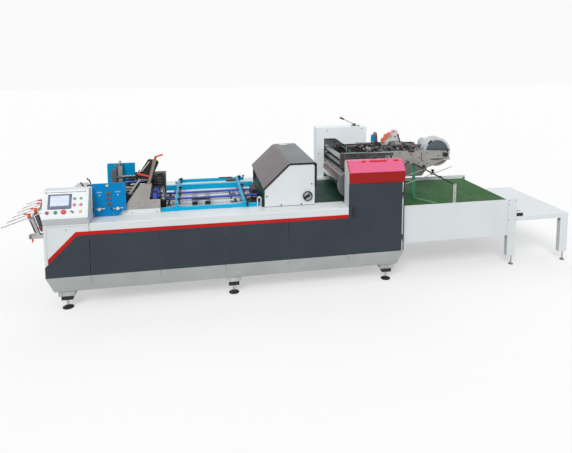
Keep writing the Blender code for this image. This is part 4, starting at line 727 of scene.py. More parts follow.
def buildFrontPlate():
    face = feeder["frontFace"] - clearance
    parts = [(copyNode("feeder_plate_front", 0.0015), "bluePaint"),
             block((0.584, face - 0.003, 0.9), (0.7135, face, 1.164), "bluePaint", 0.001)]
    width, height = feeder["counterSize"]
    for z in feeder["counters"]:
        low = at(feeder["counterLeft"], face - 0.012, z)
        parts.append(block(low, low + Vector((width, 0.012, height)), "anodised"))
        parts += [block(low + Vector((0.004, -0.0015, lift)),
                      low + Vector((width - 0.004, 0.001, lift + 0.0075)), "counterDark", 0.0004)
                  for lift in feeder["windowLifts"]]
    for x in feeder["knobs"]:
        z = feeder["knobHeight"]
        parts += [lathe((x, face, z), -inward, feeder["knobProfile"], "ivoryKnob", 24),
                  bar((x - 0.058, face - 0.006, z), (x + 0.034, face - 0.006, z + 0.002), 0.0035,
                      "brightSteel"),
                  box((x - 0.058, face - 0.006, z), (0.016, 0.012, 0.018), "blackPlastic", 0.002),
                  disc((x + 0.036, face - 0.008, z + 0.002), across, 0.006, 0.012, "ivoryKnob")]
        front = face if x < 0.58 else face - 0.003
        parts += [disc((x + 0.004, front, 1.063), -inward, 0.0065, 0.006, "indicator", 0.0015),
                  block((x - 0.02, front - 0.001, 1.088), (x + 0.026, front, 1.097), "labelPlate", 0.0003)]
    x = feeder["counterLeft"]
    parts.append(block((x, face - 0.008, 1.148), (x + 0.024, face + 0.014, 1.168), "ivoryKnob", 0.002))
    for z in feeder["brassPins"]:
        parts += [bar((0.4035, face - 0.01, z), (0.4155, face - 0.01, z), 0.007, "agedBrass"),
                  bar((0.4045, face - 0.01, z), (0.4045, face, z), 0.004, "brightSteel")]
    parts += fixings(capScrew, face, feeder["frontScrews"], -inward, 0.005, "brightSteel")
    makePiece("feederFrontPlate", parts, ["feeder_plate_front"])


def buildRearPlate():
    face = feeder["rearFace"] - clearance
    parts = [(copyNode("feeder_plate_back", 0.0015), "rearBlue"),
             block((0.545, face - 0.03, 1.03), (0.628, face, 1.25), "anodised", 0.002),
             block((0.508, face - 0.052, 1.06), (0.566, face - 0.004, 1.206), "anodised", 0.003),
             block((0.584, face - 0.052, 1.05), (0.626, face - 0.028, 1.232), "machinedPlate", 0.002),
             bar((0.602, face - 0.04, 1.15), (0.602, face - 0.04, 1.285), 0.006, "brightSteel"),
             disc((0.602, face - 0.04, 1.285), upward, 0.017, 0.009, "brightSteel", 0.002)]
    parts += [block((0.512, face - 0.054, z), (0.562, face - 0.05, z + 0.004), "anodised", 0.0005)
              for z in feeder["slideLines"]]
    for x, z in feeder["rearScrews"]:
        parts += capScrew(at(x, face - 0.03 if x > 0.54 else face - 0.052, z), -inward, 0.006,
                          "brightSteel")
    makePiece("feederRearPlate", parts, ["feeder_plate_back"])

    # Cross rods, and the sloping feed table with its belts, between the two plates.
    parts = []
    left, right = feeder["tableRodEnds"]
    for z, y, radius in feeder["tableRods"]:
        parts += [bar((left, y, z), (right, y, z - 0.004), radius, "darkCasting"),
                  box((0.7, y, z - 0.001), (0.03, 0.034, 0.036), "blackPlastic", 0.004)]
    parts.append(plate(section(0.33, feeder["tableOutline"]), inward * 0.45, "darkCasting", 0.003))
    slope = math.atan2(0.065, 0.18)
    parts += [box((0.79, y + 0.015, 1.021), (0.185, 0.03, 0.004), "rubber", 0.001,
                  Matrix.Rotation(slope, 3, "Y")) for y in feeder["tableBelts"]]
    parts += [bar((x - 0.02, 0.345, z), (x + 0.075, 0.345, z), 0.0075, "machinedPlate")
              for x, z in feeder["pressRollers"]]
    parts += fixings(hexBolt, 0.33, feeder["tableBolts"], -inward, 0.014)
    # Dark body of the feeder head with rods and rings in front of it.
    parts.append(block((0.77, 0.6, railClear), (1.078, 0.66, 1.178), "darkCasting", 0.004))
    y, right = feeder["headDepth"], feeder["headRight"]
    for z, start, finish, radius in feeder["headRods"]:
        parts.append(bar((start, y, z), (right, y, z), radius, finish))
        parts += [bar((x, y, z), (x + 0.014, y, z), radius * 1.7, "blackPlastic")
                  for x in feeder["headRings"]]
    parts += [block((x - 0.014, y - 0.014, railClear), (x + 0.014, y + 0.04, 1.176), "blackPlastic", 0.002)
              for x in feeder["headPosts"]]
    makePiece("feedTable", parts)


def buildGuard():
    face = feeder["guardFace"] - clearance
    parts = [(copyNode("guard_plate", 0.0015), "machinedPlate")]
    parts.append(plate(section(face, feeder["flangeOutline"]), -inward * 0.003, "whitePaint", 0.0005))
    for x in feeder["flangeScrews"]:
        parts += capScrew(at(x, face - 0.003, 0.866), -inward, 0.0055, "brightSteel")
    parts += [disc((x, face, z), -inward, 0.0055, 0.0012, "darkCasting", 0.0003)
              for x, z in feeder["guardPins"]]
    parts += fixings(hexBolt, face, feeder["guardBolts"], -inward, 0.013)
    # Inclined rod beside the plate's sloping edge, held at both ends.
    low, high = (at(*end) for end in feeder["guardRod"])
    parts += [bar(low, high, 0.011, "machinedPlate"),
              bar(low, low.lerp(high, 0.22), 0.0125, "blackPlastic"),
              block((0.706, 0.2476, 0.985), (0.8, 0.264, 1.008), "blackPlastic", 0.002),
              block((0.836, 0.2576, 1.174), (0.932, 0.2776, 1.188), "darkCasting", 0.003)]
    parts += starKnob(at(0.842, 0.2476, 1.186), -inward, 0.014, 0.012, "machinedPlate")
    makePiece("guardPlate", parts, ["guard_plate"])

    # Post: worn steel bar with brass collars, a clamp lever on top and an orange stop.
    foot, head = (at(*end) for end in feeder["postRod"])
    lean = (head - foot).normalized()
    parts = [bar(foot, head, 0.0165, "postSteel", 20, 0.001),
             bar(foot.lerp(head, 0.34), foot.lerp(head, 0.41), 0.0215, "agedBrass", 20),
             bar(foot.lerp(head, 0.97), head + lean * 0.012, 0.0195, "agedBrass", 20),
             block((0.873, 0.2476, 1.022), (0.925, 0.276, 1.085), "darkCasting", 0.003)]
    top = head + lean * 0.012
    parts += clampLever(top, lean, (0.07, 0.0, 0.02), "orangePlastic", 1.25)
    parts += [bar((0.81, 0.27, 1.25), (0.932, 0.27, 1.214), 0.0095, "orangePlastic"),
              block((0.8, 0.26, 1.236), (0.822, 0.28, 1.264), "blackPlastic", 0.003),
              bar((0.826, 0.27, 1.247), (0.826, 0.4305, 1.247), 0.006, "darkCasting")]
    makePiece("guardPost", parts, ["guard_post"])

    # Covers of the feeder head: ribs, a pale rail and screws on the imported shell.
    parts = [(copyNode("feeder_cover", 0.002), "blackPlastic"),
             bar((0.848, 0.433, 1.232), (0.928, 0.433, 1.333), 0.0055, "ivoryKnob")]
    parts += [block((x, 0.4345, z), (x + length, 0.4365, z + 0.01), "darkCasting", 0.001)
              for x, z, length in feeder["coverRibs"]]
    parts += fixings(capScrew, 0.4302, feeder["coverScrews"], -inward, 0.005, "anodised")
    makePiece("feederCover", parts, ["feeder_cover"])

    # Feed wheels with ribbed rims, and the dark gear stack beside them.
    axle = at(*feeder["wheelAxle"])
    parts = [(copyNode("feed_wheels", 0.001), "navyPaint")]
    for number in range(feeder["wheels"]):
        middle = axle + inward * (number * feeder["wheelStep"])
        parts.append(disc(middle, -inward, 0.02, 0.006, "brightSteel"))
        for along in feeder["wheelRibs"]:
            rib = middle + inward * (along + 0.0003)
            parts.append(disc(rib, inward, 0.0512, 0.0032, "blackPlastic", 0.0006, 32))
        parts.append(lathe(middle, -inward, feeder["wheelRing"], "blackPlastic", 28))
        for turn in range(feeder["wheelHoles"]):
            angle = math.tau * turn / feeder["wheelHoles"]
            hole = middle + Vector((math.cos(angle), 0, math.sin(angle))) * 0.039
            parts.append(disc(hole, -inward, 0.0085, 0.0015, "blackPlastic", 0.0004, 12))
    for x, z in feeder["gears"]:
        parts += [disc((x, 0.3, z), inward, 0.026, 0.1, "darkCasting", 0.003, 20),
                  disc((x, 0.296, z), inward, 0.012, 0.11, "brightSteel", 0.002, 12)]
    parts.append(block((1.005, 0.4, railClear), (1.085, 0.43, 1.075), "blackPlastic", 0.003))
    makePiece("feedWheels", parts, ["feed_wheels"])


buildFrontPlate()
buildRearPlate()
buildGuard()
print("feeder built")

# Transfer: clamps and knobs on the cross bars, shafts under the round rods, dark stops.
transfer = dict(
    crossBars=(1.193, 1.876), barTop=0.931, knobPlaces=(1.19, 0.79, 0.545, 0.318), knobReach=0.026,
    screwReach=-0.034, rodPlaces=(0.5405, 0.7748), rodHeight=0.8957, rodEnds=(1.06, 2.043),
    rodRadius=0.0125, rodStops=(1.11, 1.76, 1.99), slideRuns=((1.345, 1.405), (1.48, 1.54)),
    slideScrews=(1.375, 1.51),
    runners=((1.088, 0.634), (1.801, 0.63), (1.1, 0.95), (1.8, 0.95), (1.095, 0.38), (1.72, 0.38)),
    beltPlaces=(0.46, 0.66, 0.88, 1.1), beltEnds=(1.02, 2.05), clampPlace=(1.913, 0.238, 0.938),
)


def buildTransfer():
    parts = [(copyNode("transfer_frame", 0.0018), "lightBlue")]
    top = transfer["barTop"]
    for x in transfer["crossBars"]:
        for y in transfer["knobPlaces"]:
            parts.append(box((x, y, top - 0.026), (0.084, 0.022, 0.012), "darkCasting", 0.002))
            grip = at(x + transfer["knobReach"], y, top - 0.02)
            parts.append(bar(grip, grip + upward * 0.034, 0.006, "blackPlastic", 12))
            parts += starKnob(grip + upward * 0.024, upward, 0.021, 0.018, "blackPlastic", 5)
            screw = at(x + transfer["screwReach"], y - 0.008, top - 0.042)
            parts += [bar(screw, screw + upward * 0.04, 0.0055, "brightSteel", 12),
                      disc(screw + upward * 0.03, upward, 0.01, 0.01, "darkCasting", 0.0015, 6)]
    parts.append(block((1.05, 1.003, 0.868), (2.04, 1.037, 0.8905), "lightBlue"))
    # Dark strip and blocks along the far bar, and the tapered clamp lever on the near one.
    parts += [bar((1.66, 1.262, 0.931), (1.82, 1.262, 0.931), 0.0065, "blackPlastic", 10),
              block((1.745, 1.195, 0.892), (1.845, 1.253, 0.922), "darkCasting", 0.003)]
    parts += starKnob(at(1.958, 1.27, 0.924), upward, 0.015, 0.016, "postSteel")
    lever = at(*transfer["clampPlace"])
    parts += [bar(lever + inward * 0.03 - upward * 0.018, lever - upward * 0.018, 0.01, "brightSteel"),
              bar(lever, (1.907, 0.226, 0.858), 0.0165, "blackPlastic", 16, 0.003, 0.0055),
              disc(lever, upward, 0.0175, 0.01, "blackPlastic", 0.003, 16)]
    makePiece("transferFrame", parts, ["transfer_frame"])

    # Round rods with a plain shaft under each, and black stops that ride on them.
    first, last = transfer["rodEnds"]
    z, radius = transfer["rodHeight"], transfer["rodRadius"]
    parts = []
    for y in transfer["rodPlaces"]:
        parts += [bar((first, y, z), (last, y, z), radius, "navyPaint", 24),
                  bar((first - 0.01, y + 0.012, z - 0.028), (last, y + 0.012, z - 0.028), 0.0075,
                      "brightSteel", 12)]
        parts += [box((x, y + 0.006, z - 0.014), (0.018, 0.03, 0.034), "blackPlastic", 0.003)
                  for x in transfer["rodStops"]]
    near, far = transfer["rodPlaces"]
    for start, end in transfer["slideRuns"]:
        parts += [block((start, near - 0.04, 0.8303), (end, near + 0.016, 0.853), "blackPlastic", 0.004),
                  block((start + 0.008, near - 0.034, bedTop), (end - 0.008, near - 0.004, 0.8305),
                      "anodised", 0.002),
                  block((start, near, z - 0.026), (end, far + 0.022, z - 0.004), "brightSteel", 0.003)]
    parts.append(block((1.343, near - 0.034, 0.885), (1.537, near - 0.018, 0.902), "blackPlastic", 0.003))
    for x in transfer["slideScrews"]:
        parts += capScrew(at(x, far, z - 0.004), upward, 0.006)
        parts += capScrew(at(x, near - 0.026, 0.853), upward, 0.005)
    makePiece("guideRods", parts, ["guide_rods"])

    # Clamped runners on the bed and thin belts between them.
    parts = []
    for x, y in transfer["runners"]:
        parts.append(block((x - 0.04, y - 0.014, bedTop), (x + 0.04, y + 0.014, 0.812), "darkCasting",
                           0.002))
        parts += starKnob(at(x + 0.012, y, 0.812), upward, 0.014, 0.014)
        parts += hexBolt(at(x - 0.026, y, 0.812), upward, 0.012)
    for y in transfer["beltPlaces"]:
        parts.append(block((1.02, y - 0.016, bedTop), (2.05, y + 0.016, 0.8045), "paleTable"))
        parts += [disc((x, y - 0.016, 0.8024), inward, 0.0021, 0.032, "paleTable", 0.0, 12)
                  for x in transfer["beltEnds"]]
    makePiece("transferRunners", parts)


# Hood: a thin bent cover on a black seal, side plates with their screws, rollers inside.
hood = dict(
    line=((2.085, 1.035), (2.349, 1.285), (2.615, 1.285), (2.615, 1.04)),
    seal=0.018, cover=0.0223, wheel=(2.537, 0.951), front=0.178, back=1.362, frontPlate=0.19,
    gripScrews=(2.42, 2.49),
    sideScrews=((2.105, 0.966), (2.583, 1.076), (2.256, 0.866), (2.47, 0.866)),
    bracketScrews=(2.02, 2.046),
    rollers=((2.182, 1.014, 0.036, "darkCasting"), (2.31, 1.0, 0.052, "rubber"),
        (2.42, 1.01, 0.06, "polishedSteel"), (2.53, 1.0, 0.045, "darkCasting")),
    glueHeads=(0.34, 0.5, 0.66, 0.82, 0.98, 1.14), bearings=((2.31, 1.0), (2.42, 1.01), (2.53, 1.0)),
    bearingSides=(0.205, 1.305),
    rampOutline=((2.068, 0.801), (2.054, 0.808), (2.105, 0.905), (2.215, 0.972), (2.222, 0.96),
        (2.115, 0.895)),
    wheelRim=[(0.0435, 0.01), (0.0435, 0.02), (0.046, 0.022), (0.0505, 0.022), (0.052, 0.02),
        (0.052, 0.012), (0.0505, 0.01), (0.0435, 0.01)],
    bracket=(((2.01, 0.232, railTop), (2.02, 0.262, 0.951), "whitePaint", 0.002),
        ((2.046, 0.232, railTop), (2.056, 0.262, 0.951), "whitePaint", 0.002),
        ((2.01, 0.232, 0.939), (2.056, 0.262, 0.951), "whitePaint", 0.002),
        ((2.01, 0.195, railTop), (2.056, 0.232, 0.857), "whitePaint", 0.002),
        ((2.06, 0.205, railTop), (2.082, 0.25, 0.896), "blackPlastic", 0.003),
        ((1.96, 0.5, bedTop), (2.05, 0.84, 0.838), "blackPlastic", 0.004),
        ((1.992, 0.61, 0.838), (2.05, 0.86, 0.935), "blackPlastic", 0.004)),
    glueFrame=(((2.226, 0.1965, railTop), (2.236, 1.3435, 1.06), "blackPlastic", 0.001),
        ((2.122, 0.1965, 1.01), (2.15, 1.3435, 1.036), "darkCasting", 0.002),
        ((2.24, 0.1965, railTop), (2.56, 0.24, 0.985), "darkCasting", 0.003),
        ((2.24, 1.3, railTop), (2.56, 1.3435, 0.985), "darkCasting", 0.003),
        ((2.24, 0.24, 0.93), (2.54, 1.3, 0.945), "darkCasting", 0.002)),
)


def offsetLine(points, distance):
    # The same open line, moved outwards and mitred at its bends.
    moved = []
    for number, point in enumerate(points):
        here = Vector(point)
        runs = []
        if number > 0:
            runs.append((here - Vector(points[number - 1])).normalized())
        if number + 1 < len(points):
            runs.append((Vector(points[number + 1]) - here).normalized())
        sides = [Vector((-run.y, run.x)) for run in runs]
        middle = sum(sides, Vector((0.0, 0.0))).normalized()
        moved.append(here + middle * (distance / middle.dot(sides[0])))
    return moved


def bentSheet(line, inner, outer, front, back, bend):
    # A sheet that follows the line across the machine, its bends rounded on both faces.
    outline = list(offsetLine(line, outer)) + list(reversed(offsetLine(line, inner)))
    shape = bmesh.new()
    face = shape.faces.new([shape.verts.new(at(x, front, z)) for x, z in outline])
    grown = bmesh.ops.extrude_face_region(shape, geom=[face])["geom"]
    moved = [part for part in grown if isinstance(part, bmesh.types.BMVert)]
    bmesh.ops.translate(shape, vec=inward * (back - front), verts=moved)
    bmesh.ops.recalc_face_normals(shape, faces=shape.faces)
    count = len(line)
    for bends, radius in (((1, 2), bend + outer), ((count * 2 - 2, count * 2 - 3), bend + inner)):
        corners = [at(outline[number][0], front, outline[number][1]) for number in bends]
        chosen = [edge for edge in shape.edges
                  if abs((edge.verts[0].co - edge.verts[1].co).y) > 0.5 * (back - front)
                  and any((edge.verts[0].co - c).xz.length < 0.0002 for c in corners)]
        bmesh.ops.bevel(shape, geom=chosen, offset=radius, offset_type="OFFSET", affect="EDGES",
                        segments=5, profile=0.5, material=-1, clamp_overlap=True)
    return roundEdges(shape, 0.0008, 1, 60.0)


def buildHood():
    line = hood["line"]
    front, back, seal = hood["front"], hood["back"], hood["seal"]
    parts = [(bentSheet(line, seal, hood["cover"], front, back, 0.006), "hoodEnamel"),
             (bentSheet(line, 0.0006, seal + 0.0002, front + 0.006, back - 0.006, 0.004), "rubber")]
    # Plain grip strip at the back of the top, with two screws.
    parts.append(block((2.405, 1.25, 1.3065), (2.505, 1.32, 1.312), "ivoryKnob", 0.002))
    for x in hood["gripScrews"]:
        parts += capScrew(at(x, 1.285, 1.312), upward, 0.0045, "brightSteel")
    piece = makePiece("hoodCover", parts, ["hood_cover"])
    # The top face takes the blue-grey copy of the enamel: a painted reflection.
    paintFaces(piece, "hoodTopReflection", lambda place, normal: normal.z > 0.93 and place.z > 1.29
               and place.z < 1.3074)

    face = hood["frontPlate"]
    parts = [(copyNode("hood_side_front", 0.0035, 3), "whitePaint")]
    parts += fixings(capScrew, face, hood["sideScrews"], -inward, 0.007)
    # Two dark strips along the plate's foot: painted shadow of the gap between the plate and the rail.
    parts += [block((2.09, face + 0.0065, railClear), (2.612, face + 0.0095, 0.862), "rubber", 0.001),
              block((2.086, face - 0.0004, railTop), (2.614, face + 0.001, 0.8545), "rubber", 0.0005)]
    makePiece("hoodFrontPlate", parts, ["hood_side_front"])

    parts = [(copyNode("hood_side_back", 0.0035, 3), "whitePaint")]
    parts += fixings(capScrew, 1.35, hood["sideScrews"], inward, 0.007)
    piece = makePiece("hoodBackPlate", parts, ["hood_side_back"])
    # The plate's inner face, inside the hood, gets dark paint: painted shade.
    paintFaces(piece, "darkPaint", lambda place, normal: normal.y < -0.5)

    # White bracket and black blocks at the hood's left edge.
    parts = blocks(hood["bracket"])
    for x in hood["bracketScrews"]:
        parts += capScrew(at(x, 0.214, 0.857), upward, 0.004, "brightSteel")
    makePiece("hoodBracket", parts)

    # Gluing unit under the hood: rollers, a belt that rises to them, brackets and a cross bar.
    parts = []
    for x, z, radius, finish in hood["rollers"]:
        profile = [(0.0, 0.0), (0.014, 0.0), (0.014, 0.06), (radius - 0.003, 0.06), (radius, 0.063),
                   (radius, 1.084), (radius - 0.003, 1.087), (0.014, 1.087), (0.014, 1.147), (0.0, 1.147)]
        parts.append(lathe((x, 0.1965, z), inward, profile, finish))
    # The rising belt is in the darker belting copy: painted shade under the hood.
    parts.append(plate(section(0.272, hood["rampOutline"]), inward * 0.996, "shadedBelting"))
    for number, y in enumerate(hood["glueHeads"]):
        parts += [block((2.104, y, 0.996), (2.14, y + 0.018, 1.024),
                      ("bluePaint", "anodised", "blackPlastic")[number % 3], 0.003),
                  block((2.108, y + 0.004, 0.925), (2.12, y + 0.014, 0.998),
                      ("blackPlastic", "bluePaint", "anodised")[number % 3], 0.002)]
    parts += blocks(hood["glueFrame"])
    for x, z in hood["bearings"]:
        parts += [box((x, y + 0.012, z - 0.006), (0.052, 0.026, 0.062), "darkCasting", 0.004)
                  for y in hood["bearingSides"]]
    makePiece("gluingUnit", parts)

    # Handwheel: a ring with a slanting bar and a hub on its shaft.
    x, z = hood["wheel"]
    face = hood["frontPlate"] - 0.0003
    ring = latheShape(at(x, face, z), -inward, hood["wheelRim"], 48)
    tilt = Matrix.Rotation(math.radians(-32), 3, "Y")
    parts = [(ring, "blackPlastic"),
             box((x, face - 0.016, z), (0.092, 0.008, 0.03), "blackPlastic", 0.003, tilt),
             disc((x, face, z), -inward, 0.009, 0.026, "brightSteel", 0.001, 20),
             disc((x, face - 0.02, z), -inward, 0.015, 0.008, "blackPlastic", 0.002, 20)]
    knob = at(x, face - 0.02, z) + tilt @ Vector((0.03, 0, 0))
    parts.append(disc(knob, -inward, 0.008, 0.006, "brightSteel", 0.002, 16))
    makePiece("hoodWheel", parts, ["hood_wheel"], body="wheel")


def arcShape(centre, direction, profile, start, turn):
    # Part of a turned ring: the closed profile carried round by the given angle.
    shape = bmesh.new()
    face = shape.faces.new([shape.verts.new((radius, 0.0, along)) for radius, along in profile])
    bmesh.ops.rotate(shape, verts=shape.verts, cent=(0, 0, 0), matrix=Matrix.Rotation(start, 3, "Z"))
    bmesh.ops.spin(shape, geom=list(shape.verts) + list(shape.edges) + [face], cent=(0, 0, 0),
                   axis=(0, 0, 1), angle=turn, steps=12)
    bmesh.ops.recalc_face_normals(shape, faces=shape.faces)
    roundEdges(shape, 0.0)
    return moveShape(shape, turnedTo(centre, direction))


# Patching unit: the far frame's casting and bearings, the drum and the rollers.
patching = dict(
    drum=(3.028, 1.028), rollers=((3.048, 1.16), (3.048, 1.236)), plateFace=1.4, frameFace=1.37,
    pivot=(3.423, 1.45, 1.5155), leverLength=0.213, leverLean=26.0,
    frameScrews=((3.045, 1.456), (3.504, 1.47), (2.928, 1.156)), wireNuts=(3.378, 3.47),
    plateDots=((3.149, 1.3), (3.267, 1.2)), frameRods=((3.112, 1.204, 0.011), (3.136, 1.132, 0.012)),
    plateRibs=(((3.18, 1.075), (3.225, 1.262), "blackPlastic"),
        # The green rib is in the darker belting copy: painted shade.
        ((3.236, 1.15), (3.252, 1.265), "shadedBelting"), ((3.275, 1.18), (3.47, 1.235), "brownSteel"),
        ((3.31, 1.12), (3.54, 1.165), "anodised"), ((3.48, 1.2), (3.552, 1.262), "machinedPlate"),
        ((3.02, 0.9), (3.13, 0.96), "anodised")),
    plateBolts=((3.29, 1.248), (3.4, 1.25), (3.5, 1.18), (3.2, 1.24), (3.2, 1.1), (3.42, 1.14)),
    castingOutline=((3.004, 1.27), (3.26, 1.27), (3.156, 1.348), (3.004, 1.348)),
    wirePath=((3.372, 1.4962), (3.378, 1.516), (3.4, 1.509), (3.446, 1.5005), (3.474, 1.51),
        (3.484, 1.4962)),
    rollerRing=[(0.0142, 0.0), (0.034, 0.0), (0.034, 0.016), (0.026, 0.022), (0.0142, 0.022),
        (0.0142, 0.0)],
    drumRing=[(0.0225, 0.0), (0.062, 0.0), (0.062, 0.018), (0.05, 0.026), (0.0225, 0.026), (0.0225, 0.0)],
    leverGrip=[(0.0, 0.0), (0.0075, 0.0), (0.01, 0.006), (0.0118, 0.03), (0.0105, 0.056), (0.006, 0.0615),
        (0.0, 0.062)],
    # Arcs on the drum: a brown film patch that is also laid as a painted reflection, and a dark steel arc
    # that is only a painted dark reflection.
    drumFilmAndReflection=((0.305, 0.1008, 0.81, 2, 42, "brownSteel"), (0.3, 0.1005, 0.84, 50, 46, "darkSteel")),
)


def buildFarFrame():
    # The far frame is in the lighter white copy: painted light on its front.
    piece = makePiece("farFrame", [(copyNode("far_frame", 0.003), "brightWhite")],
                      ["far_frame"])
    ear = patching["pivot"]
    paintFaces(piece, "darkSteel", lambda place, normal: place.z > 1.4965 and abs(place.x - ear[0]) < 0.03)
    face = patching["frameFace"]
    parts = fixings(capScrew, face - clearance, patching["frameScrews"], -inward, 0.0055)
    back = patching["plateFace"]
    parts += [plate(section(back, patching["castingOutline"]), inward * 0.02, "anodised", 0.002),
              block((3.08, back - 0.014, 1.212), (3.165, back - clearance, 1.262), "brightSteel", 0.003)]
    # Bearing rings round the far ends of the rollers and the drum.
    parts += [lathe((x, back - clearance, z), -inward, patching["rollerRing"], "anodised", 24)
              for x, z in patching["rollers"]]
    x, z = patching["drum"]
    parts.append(lathe((x, back - clearance, z), -inward, patching["drumRing"], "anodised"))
    # Bent wire with two nuts at the foot of the clamping lever.
    parts.append(tube(section(1.405, patching["wirePath"]), 0.0035, "darkSteel"))
    parts += [disc((x, 1.405, 1.4951), upward, 0.008, 0.01, "darkCasting", 0.001, 6)
              for x in patching["wireNuts"]]
    # Black discs stand for two holes in the casting: painted shade in the holes.
    parts += [disc((x, back - 0.0003, z), -inward, 0.012, 0.004, "blackPlastic")
              for x, z in patching["plateDots"]]
    for x, z, radius in patching["frameRods"]:
        parts += [bar((x, 0.6003, z), (x, back - clearance, z), radius, "darkCasting", 20),
                  disc((x, back - 0.0003, z), -inward, 0.022, 0.012, "anodised")]
    # Dark ribs, slides and bolts on the side plate below the frame's arm.
    parts += [block((low[0], back - 0.022, low[1]), (high[0], back - clearance, high[1]), finish, 0.003)
                  for low,
              high,
              finish in patching["plateRibs"]]
    parts += fixings(hexBolt, back - 0.0225, patching["plateBolts"], -inward, 0.016)
    parts += [bar((3.225, back - 0.045, 1.255), (3.3, back - 0.045, 1.2), 0.01, "anodised"),
              bar((3.3, back - 0.05, 1.2), (3.3, back - clearance, 1.2), 0.012, "darkCasting")]
    makePiece("farFrameBearings", parts)

    pivot = at(*patching["pivot"])
    lean = math.radians(patching["leverLean"])
    run = Vector((-math.cos(lean), 0.0, math.sin(lean)))
    length = patching["leverLength"]
    parts = [bar(pivot - inward * 0.015, pivot + inward * 0.015, 0.014, "brightSteel", 28, 0.001),
             bar(pivot, pivot + run * length * 0.75, 0.0055, "brightSteel", 16),
             lathe(pivot + run * length * 0.72, run, patching["leverGrip"], "blackPlastic", 24)]
    makePiece("clampingLever", parts, ["frame_lever"], body="lever")


def buildDrum():
    x, z = patching["drum"]
    parts = [(copyNode("patch_drum", 0.001), "polishedSteel")]
    # The two arcs give the polished drum painted reflections: the dark arc wholly, the brown film patch in
    # part.
    for depth, outside, width, start, turn, finish in patching["drumFilmAndReflection"]:
        band = [(0.0995, 0.0), (outside, 0.0), (outside, width), (0.0995, width)]
        parts.append((arcShape(at(x, depth, z), inward, band, math.radians(start), math.radians(turn)),
                      finish))
    piece = makePiece("patchDrum", parts, ["patch_drum"], body="drum")
    paintFaces(piece, "anodised", lambda place, normal: place.y < 0.2852
               or (abs(normal.y) < 0.2 and Vector((place.x - x, place.z - z)).length > 0.11))
    for node, finish in (("upper_roller", "brightSteel"), ("lower_roller", "darkSteel")):
        roller = makePiece(camel(node) + "Body", [(copyNode(node, 0.001), finish)], [node],
                           body=bodyOf[node])
        paintFaces(roller, "darkCasting", lambda place, normal: place.y < 0.622 or place.y > 1.338)


# Tall cabinet: white sides, pink slope over a deep red band, dark door edge to edge.
tall = dict(slopeFoot=(0.006, 1.2206), markFoot=(0.0816, 1.304), slopeTop=(0.0943, 1.318),
            notches=((3.095, 3.139), (3.184, 3.373), (3.451, 3.506)), strip=(2.9385, 2.948))


def buildTallCabinet():
    piece = makePiece("tallCabinetBody", [(copyNode("tall_cabinet", 0.001), "whitePaint")],
                      ["tall_cabinet"])
    paintFaces(piece, "darkPaint", lambda place, normal: place.x > 3.525 and place.y < 0.0195
               and place.z < 1.1 and normal.x < 0.5)
    jamb = block((3.5466, 0.0045, 0.347), (3.5538, 0.018, 1.0955), "darkPaint", 0.0008)
    makePiece("doorJamb", [jamb])

    piece = makePiece("tallCap", [(copyNode("tall_cap", 0.0008), "capRed")], ["tall_cap"])
    paintFaces(piece, "bandPink", lambda place, normal: normal.z > 0.35 and place.z > 1.213
               and (normal.z < 0.9 or place.z > 1.3205 or place.y > 0.112))

    # Red marks along the slope's upper edge and a strip down its left edge, thin sheets on the slope.
    foot, low, high = (Vector(tall[key]) for key in ("slopeFoot", "markFoot", "slopeTop"))
    out = Vector((low.y - high.y, high.x - low.x)).normalized() * 0.0014
    parts = []
    for start, end, below in [(*notch, low) for notch in tall["notches"]] + [(*tall["strip"], foot)]:
        mark = [at(start, below.x, below.y), at(end, below.x, below.y), at(end, high.x, high.y),
                at(start, high.x, high.y)]
        parts.append(plate(mark, Vector((0.0, out.x, out.y)), "redPaint", 0.0))
    makePiece("capMarks", parts)

    parts = [(copyNode("door_handle", 0.003, 3), "blackPlastic"),
             block((2.9835, -0.01395, 0.75), (2.9965, -0.012, 0.836), "brightSteel", 0.001),
             disc((2.99, -0.012, 0.842), -inward, 0.0055, 0.0019, "brightSteel", 0.0005)]
    makePiece("doorHandle", parts, ["door_handle"], body="door")


